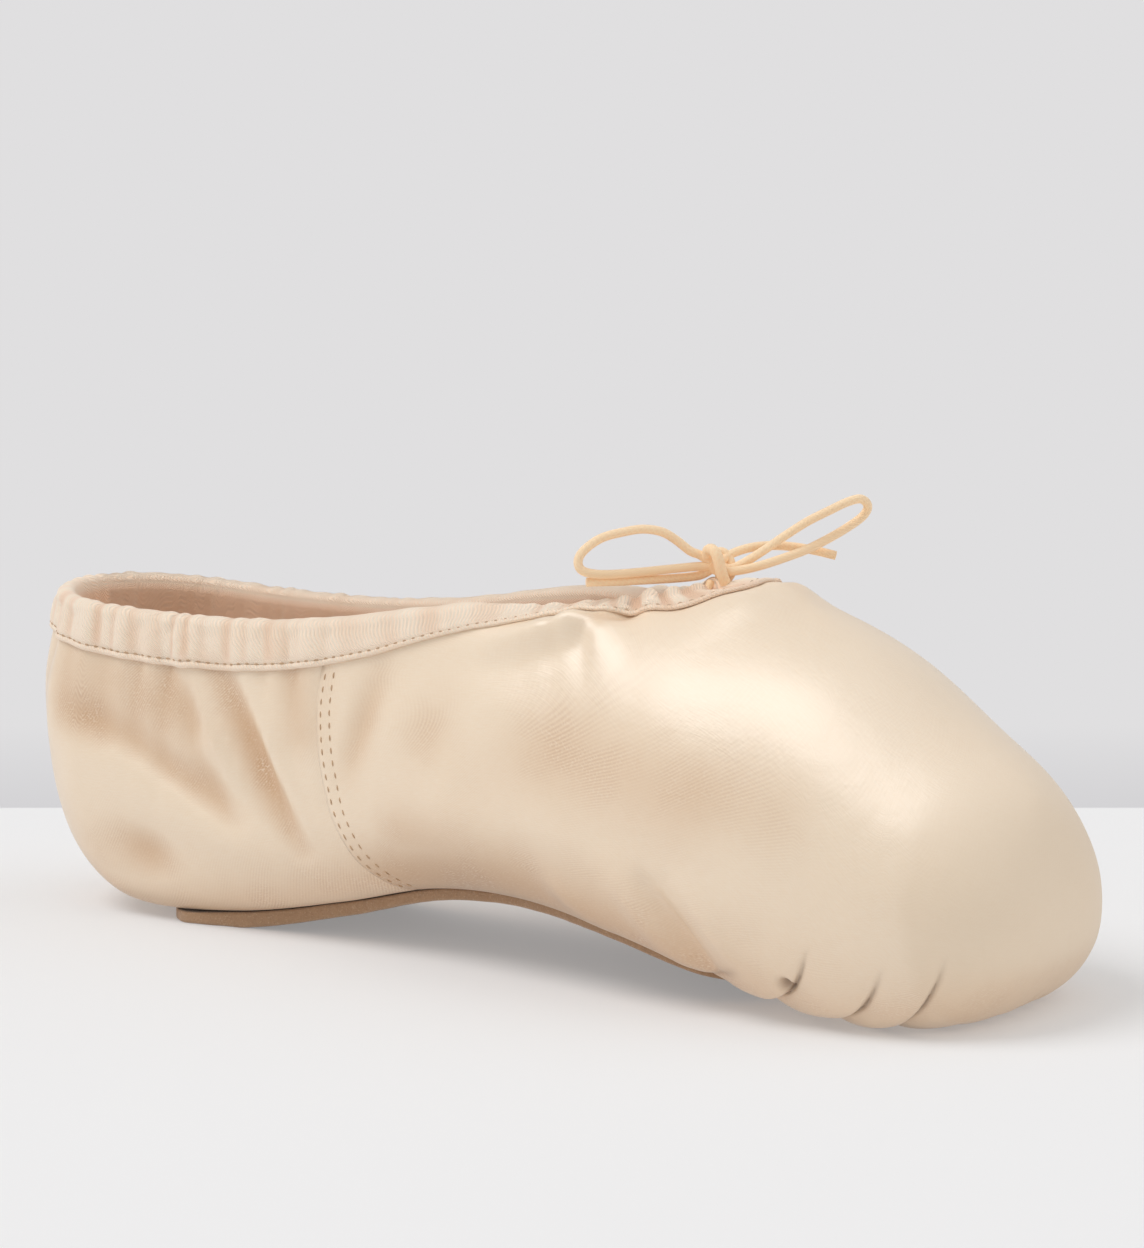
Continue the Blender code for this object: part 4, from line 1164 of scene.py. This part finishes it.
def make_linings():
    u, v, side = vamp_columns(rows_of(8, 40), 60, 12, 30)
    base, normal = laid(u, v, side)
    near, run = rim_distance(base)
    folds = 0.0004 * ripple(run, 0.0090, 0.9) * np.exp(-near / 0.02)
    depth = lining_depth(base[..., 0], u, v) + folds
    depth -= np.minimum(satin_relief(base, u, v, side)[0], 0)
    # Painted shade, tinted tan, along the lining's gathers.
    shades = {"fold": np.clip(folds / 0.0009, 0, 1)}
    grid = base - normal * depth[..., None]
    piece = cloth("vamp_inner", grid, TWILL, LINING_THICKNESS, shades)
    flex(piece, "twill", "vamp_lining")
    for side, word in SIDES:
        u, v = quarter_columns(rows_of(10, 60), 110, 0.0)
        base, normal = laid(u, v)
        normal[:, 0, 1] = 0.0
        near, run = rim_distance(base * [1, side, 1])
        relief = satin_relief(base * [1, side, 1], u, v, np.full(u.shape, side))[0]
        folds = 0.0007 + 0.0010 * ripple(run, 0.0066, 2.6 + side)
        folds *= ease((near - 0.0058) / 0.003)
        folds = folds * np.exp(-near / 0.030) * (1 - 0.8 * ease((base[..., 0] - 0.070) / 0.03))
        grid = base - normal * (QUARTER_LINING_DEPTH + folds - np.minimum(relief, 0))[..., None]
        grid[..., 1] = np.maximum(grid[..., 1], 0.00008)
        # Painted shade, tinted tan, along the quarter lining's gathers.
        grid, shades = for_side(side, grid, {"fold": np.clip(folds / 0.0022, 0, 1)})
        piece = cloth(f"quarter_inner_{word}", grid, TWILL, LINING_THICKNESS, shades)
        flex(piece, "twill", f"quarter_lining_{word}")


def make_box():
    """The stiffened layers over the toes, between satin and lining."""
    rows = rows_of(8, 40)
    start = column_at(box_start(np.clip(rows, 0, 1)), rows)
    body = start[:, None] + (2 - start)[:, None] * np.linspace(0, 1, 24)[None, :]
    toe = np.repeat(np.linspace(2, 3, 41)[None, 1:], len(rows), 0)
    u = np.hstack([body, toe])
    u, v, side = two_sided(u, np.repeat(rows[:, None], u.shape[1], 1))
    base, normal = laid(u, v, side)
    sunk = np.minimum(satin_relief(base, u, v, side)[0], 0)
    grid = base - normal * (BOX_DEPTH - sunk)[..., None]
    piece = cloth("box_shell", grid, PASTE, BOX_THICKNESS)
    rigid(piece, "toe_box")


# ---------------------------------------------------------------- sole and insole

GAP = 0.0003


def sole_top(x):
    return through(FEATHER_HEIGHT, x) - GAP


def sole_low(x):
    return np.maximum(sole_top(x) - through(SOLE_THICKNESS, x), 0.0)


def board_low(x):
    return through(FEATHER_HEIGHT, x) + 0.0023 + 0.0025 * ease((x - 0.118) / 0.016)


def board_half_width(x):
    return through(FEATHER_HALF_WIDTH, x) - 0.0024 - 0.0024 * ease((x - 0.118) / 0.016)


def strip(name, finish, span, width, low, high, rounding, ends, count, wear):
    """A flat piece with round ends and soft edges, bent to follow the shoe's bottom."""
    start, end = span
    turn = 0.5 - 0.5 * np.cos(np.linspace(0, math.pi, count))
    places = start + (end - start) * turn
    back = np.clip((places - start) / ends[0], 0, 1)
    front = np.clip((end - places) / ends[1], 0, 1)
    half = width(places) * np.sqrt(1 - (1 - back) ** 2) * np.sqrt(1 - (1 - front) ** 2)
    half = np.maximum(half, 0.0012)
    across = np.linspace(-1, 1, 25)
    corner = np.linspace(0, math.pi / 2, 5)
    rings, edges = [], []
    for x, reach in zip(places, half):
        bottom, top = float(low(x)), float(high(x))
        size = min(rounding, 0.45 * (top - bottom), 0.8 * reach)
        flat = reach - size
        ring, edge = [], []
        for sign_y, sign_z, order in ((1, 1, 1), (1, -1, -1), (-1, -1, 1), (-1, 1, -1)):
            centre = (sign_y * flat, top - size if sign_z > 0 else bottom + size)
            for angle in corner[::-1] if order > 0 else corner:
                ring.append((x, centre[0] + sign_y * size * math.cos(angle),
                             centre[1] + sign_z * size * math.sin(angle)))
                edge.append(1 - ease((angle - 0.9) / 0.6))
            if sign_y != sign_z:
                line = across[1:-1] if sign_z > 0 else across[1:-1][::-1]
                z = top if sign_z > 0 else bottom
                ring += [(x, y * flat, z) for y in line]
                edge += [0.0] * len(line)
        rings.append(ring)
        edges.append(edge)
    rings, edges = np.array(rings), np.array(edges, float)
    if wear:
        for point in rings.reshape(-1, 3):
            point += wear * (np.array(noise.noise_vector(Vector(point) / 0.0035)) * [1, 1, 0.5])
    rings[..., 2] = np.maximum(rings[..., 2], 0.0)
    return rods(name, [rings[:, ::-1]], finish, edges[:, ::-1])


def over_board(rise):
    return lambda x: board_low(x) + rise


def inside_board(inset):
    return lambda x: board_half_width(x) - inset


# The layers of the bottom: piece, CAD node, slot, finish, its two ends, half width, underside,
# top, rounding of its edges, how long its two round ends are, rings and wear.
LAYERS = (
    ("sole", "outsole", "sole_leather", SUEDE, (0.036, 0.188),
     lambda x: through(SOLE_HALF_WIDTH, x), sole_low, sole_top, 0.0006, (0.014, 0.016), 260,
     0.00012),
    ("board", "insole_board", "insole_fibre", BOARD, (0.020, 0.198), inside_board(0.0),
     over_board(0.0), over_board(0.0013), 0.0003, (0.016, 0.018), 150, 0.0),
    ("shank_piece", "shank", "shank_board", SHANK, (0.022, 0.150), inside_board(0.006),
     over_board(0.0016), over_board(0.0038), 0.0005, (0.010, 0.010), 150, 0.0),
    ("sock", "sock_lining", "twill", TWILL, (0.020, 0.196), inside_board(0.0006),
     over_board(0.0052), over_board(0.0060), 0.0003, (0.016, 0.018), 150, 0.0),
)


# ---------------------------------------------------------------- binding and drawstring

def surface_tree(*grids):
    points, faces, base = [], [], 0
    for grid in grids:
        points.append(grid.reshape(-1, 3))
        faces += (quads(*grid.shape[:2]) + base).tolist()
        base += grid.shape[0] * grid.shape[1]
    return BVHTree.FromPolygons([Vector(p) for p in np.vstack(points)], faces)


def snap(tree, place, out):
    """The nearest point of the satin to a place, and its normal on the outer side."""
    found, facing, _, _ = tree.find_nearest(Vector(place))
    facing = np.array(facing)
    return np.array(found), facing if facing @ out > 0 else -facing


MOST_LEAN = 1.32


def rim_frames():
    """For each point of the topline: away from the opening along the satin, and outward."""
    line, along = RIM[:-1], RIM_ALONG
    inward = np.array([0.075, 0.0, 0.066]) - line
    x = line[:, 0]
    # The wall is upright over the heel and lies almost level at the throat.
    lean = MOST_LEAN * ease((x - 0.100) / 0.055)[:, None]
    out = np.cross(along, [0, 0, 1.0])
    out *= np.sign(-np.sum(out * inward, axis=1, keepdims=True))
    down = np.array([[0, 0, -1.0]])
    away = down * np.cos(lean) + out * np.sin(lean)
    away -= along * np.sum(away * along, axis=1, keepdims=True)
    away /= np.linalg.norm(away, axis=1, keepdims=True)
    out = out * np.cos(lean) - down * np.sin(lean)
    return line, away, out


ROLL = 0.00165
ROLL_RISE = 0.0014
# Rows down the binding's outer side: the share of its width, the height over the satin, and
# how much of its puckers each row shows. The dip is the groove that the stitches pull in.
TAPE_ROWS = [
    (1.000, 0.00010, 0.10), (0.985, 0.00048, 0.12), (0.950, 0.00060, 0.12),
    (0.910, 0.00056, 0.15), (0.870, 0.00040, 0.20), (0.840, 0.00036, 0.20),
    (0.800, 0.00054, 0.35), (0.720, 0.00066, 0.60), (0.620, 0.00072, 0.90),
    (0.500, 0.00074, 1.00), (0.380, 0.00074, 1.00), (0.250, 0.00074, 1.00),
    (0.120, 0.00070, 0.95), (0.000, 0.00064, 0.90),
]
TAPE_STITCH_ROW = 5
INNER_ROWS = (0.0, 0.0010, 0.0020, 0.0032, 0.0044, 0.0052, 0.0056)
INNER_DEPTH = 0.0034
INNER_SHADE = 0.0007
TAPE_LOWEST = -0.00030
TAPE_THICKNESS = 0.0004


def snap_all(tree, places, outs):
    found = [snap(tree, place, out) for place, out in zip(places, outs)]
    normal = evened(np.array([f[1] for f in found]), 2)
    return np.array([f[0] for f in found]), normal


def evened(row, times):
    """A closed row of points, each drawn towards its two neighbours a few times."""
    for _ in range(times):
        row = 0.5 * row + 0.25 * (np.roll(row, 1, 0) + np.roll(row, -1, 0))
    return row


def tape_puckers(run, x):
    """How far the binding's gathers stand out: tight at the throat and looser at the heel."""
    front = ease((x - 0.122) / 0.024)
    heel = 1 - ease((x - 0.060) / 0.040)
    throat = ease((x - 0.148) / 0.010)
    tight = 0.0005 * front * (1 + 1.3 * throat) * ripple(run, 0.0047, 0.7)
    return tight + 0.00032 * heel * ripple(run, 0.0049, 1.3) + 0.0002 * ripple(run, 0.0125, 0.2)


def make_binding(tree):
    line, away, out = rim_frames()
    run = RIM_ARC[:-1] - RIM_HALF
    x = line[:, 0]
    width = through(TAPE_WIDTHS, x)
    puckers = tape_puckers(run, x)
    # Painted shade: a little over the whole binding and more at the throat, on top of the shade
    # in its puckers.
    painted_shade_offset = 0.00007 + 0.00026 * ease((x - 0.149) / 0.008)
    grid, folds = [], []
    for number, (share, lift, swell) in enumerate(TAPE_ROWS):
        found, normal = snap_all(tree, line + away * (width * share)[:, None], out)
        height = lift + swell * np.maximum(puckers, TAPE_LOWEST)
        grid.append(evened(found + normal * height[:, None], 1))
        folds.append(swell * puckers - painted_shade_offset)
        if number == TAPE_STITCH_ROW:
            stitch_facing = normal
    centre = line - away * ROLL_RISE + out * (0.0006 - ROLL)
    for turn in np.linspace(0, math.pi, 13):
        size = ROLL + puckers[:, None] * (0.35 + 0.55 * (1 + math.cos(turn)) / 2)
        grid.append(centre + out * math.cos(turn) * size - away * math.sin(turn) * size)
        folds.append(puckers * (1 + math.cos(turn)) / 2 - painted_shade_offset)
    for reach in INNER_ROWS:
        inner = line + away * reach - out * (INNER_DEPTH - 0.5 * puckers)[:, None]
        grid.append(evened(inner, 2))
        # The inner leg is tinted with painted shade.
        folds.append(0.5 * puckers - INNER_SHADE)
    grid, folds = np.array(grid), np.array(folds)
    grid = np.concatenate([grid, grid[:, :1]], 1)
    folds = np.concatenate([folds, folds[:, :1]], 1)
    # Painted shade, tinted tan, in the binding's puckers.
    shades = {"fold": np.clip(-folds / 0.0006, 0, 1)[:, ::-1]}
    piece = cloth("binding_tape", grid[:, ::-1], TAPE, TAPE_THICKNESS, shades)
    flex(piece, "tape", "binding")
    stitch_row = grid[TAPE_STITCH_ROW, :-1] + stitch_facing * TAPE_THICKNESS
    return stitch_row, stitch_facing, line, away, out


def make_drawstring(line, away, out):
    path = line - away * ROLL_RISE - out * (ROLL - 0.0006)
    # It runs from one side of the throat round the heel to the other, and is open between.
    kept = np.flatnonzero((np.abs(path[:, 1]) > 0.004) | (path[:, 0] < 0.1))
    path = path[np.roll(kept, -1 - np.flatnonzero(np.diff(kept) > 1)[0])]
    ends = [np.array([0.1614, y, 0.0729 + z]) for y, z in ((0.0034, 0.0002), (0.0013, 0.0024))]
    path = np.vstack([[p * [1, -1, 1] for p in ends[::-1]], path, ends])
    piece = rods("cord_in_channel", [rod_rings(smooth_route(path, 0.0015), CORD / 2 * 0.9, 10)],
                 CORD_FINISH)
    flex(piece, "cord", "drawstring")


# ---------------------------------------------------------------- stitches

# How far apart the stitches are, how long each is, and the thread's radius.
SEAM_STITCH = (0.0025, 0.0014, 0.00015)
TAPE_STITCH = (0.0022, 0.0013, 0.00020)


def stitches(name, paths, pitch, length, radius):
    """Rows of thread bridges, each sunk in the cloth at both ends."""
    share = np.linspace(-0.5, 0.5, 7)
    arch = np.cos(share * math.pi)[:, None]
    size = radius * (0.55 + 0.45 * np.sqrt(arch[:, 0].clip(0, 1)))
    bridges = []
    for path, normals in paths:
        reach = reach_along(path)
        for middle in np.arange(pitch, reach[-1] - pitch / 2, pitch):
            steps = share * length + middle
            points = sampled(path, reach, steps)
            facing = sampled(normals, reach, steps)
            points = points + facing * (radius * 1.5 * arch - radius * 0.9)
            bridges.append(rod_rings(points, size, 8))
    return rods(name, bridges, THREAD)


def seam_path(tree, side, offset):
    v = np.linspace(0.05, 0.90, 90)
    u = column_at(through(SEAM, v) + offset, v)
    base = last_point(u, v) * [1, side, 1]
    found = [snap(tree, point, np.array([0, side, 0])) for point in base]
    return np.array([f[0] for f in found]), np.array([f[1] for f in found])


def make_stitches(tree, tape_row, facing):
    for side, word in SIDES:
        rows = [seam_path(tree, side, offset) for offset in SEAM_ROWS]
        flex(stitches(f"seam_stitches_{word}", rows, *SEAM_STITCH), "satin")
    loop = [np.vstack([row, row[:1]]) for row in (tape_row, facing)]
    flex(stitches("tape_stitches", [loop], *TAPE_STITCH), "tape")


# ---------------------------------------------------------------- the whole shoe

make_camera()
make_studio()
make_bow()
satin_tree = surface_tree(
    make_vamp_satin(), *(make_quarter_satin(side, word) for side, word in SIDES))
make_linings()
make_box()
for name, node, slot, *shape in LAYERS:
    flex(strip(name, *shape), slot, node)
tape_row, facing, line, away, out = make_binding(satin_tree)
make_drawstring(line, away, out)
make_stitches(satin_tree, tape_row, facing)
for node, finish in (("shank_tack_1", BRASS), ("shank_tack_2", BRASS), ("platform_disc", BOARD)):
    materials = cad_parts[node].data.materials
    materials.clear()
    materials.append(finish)
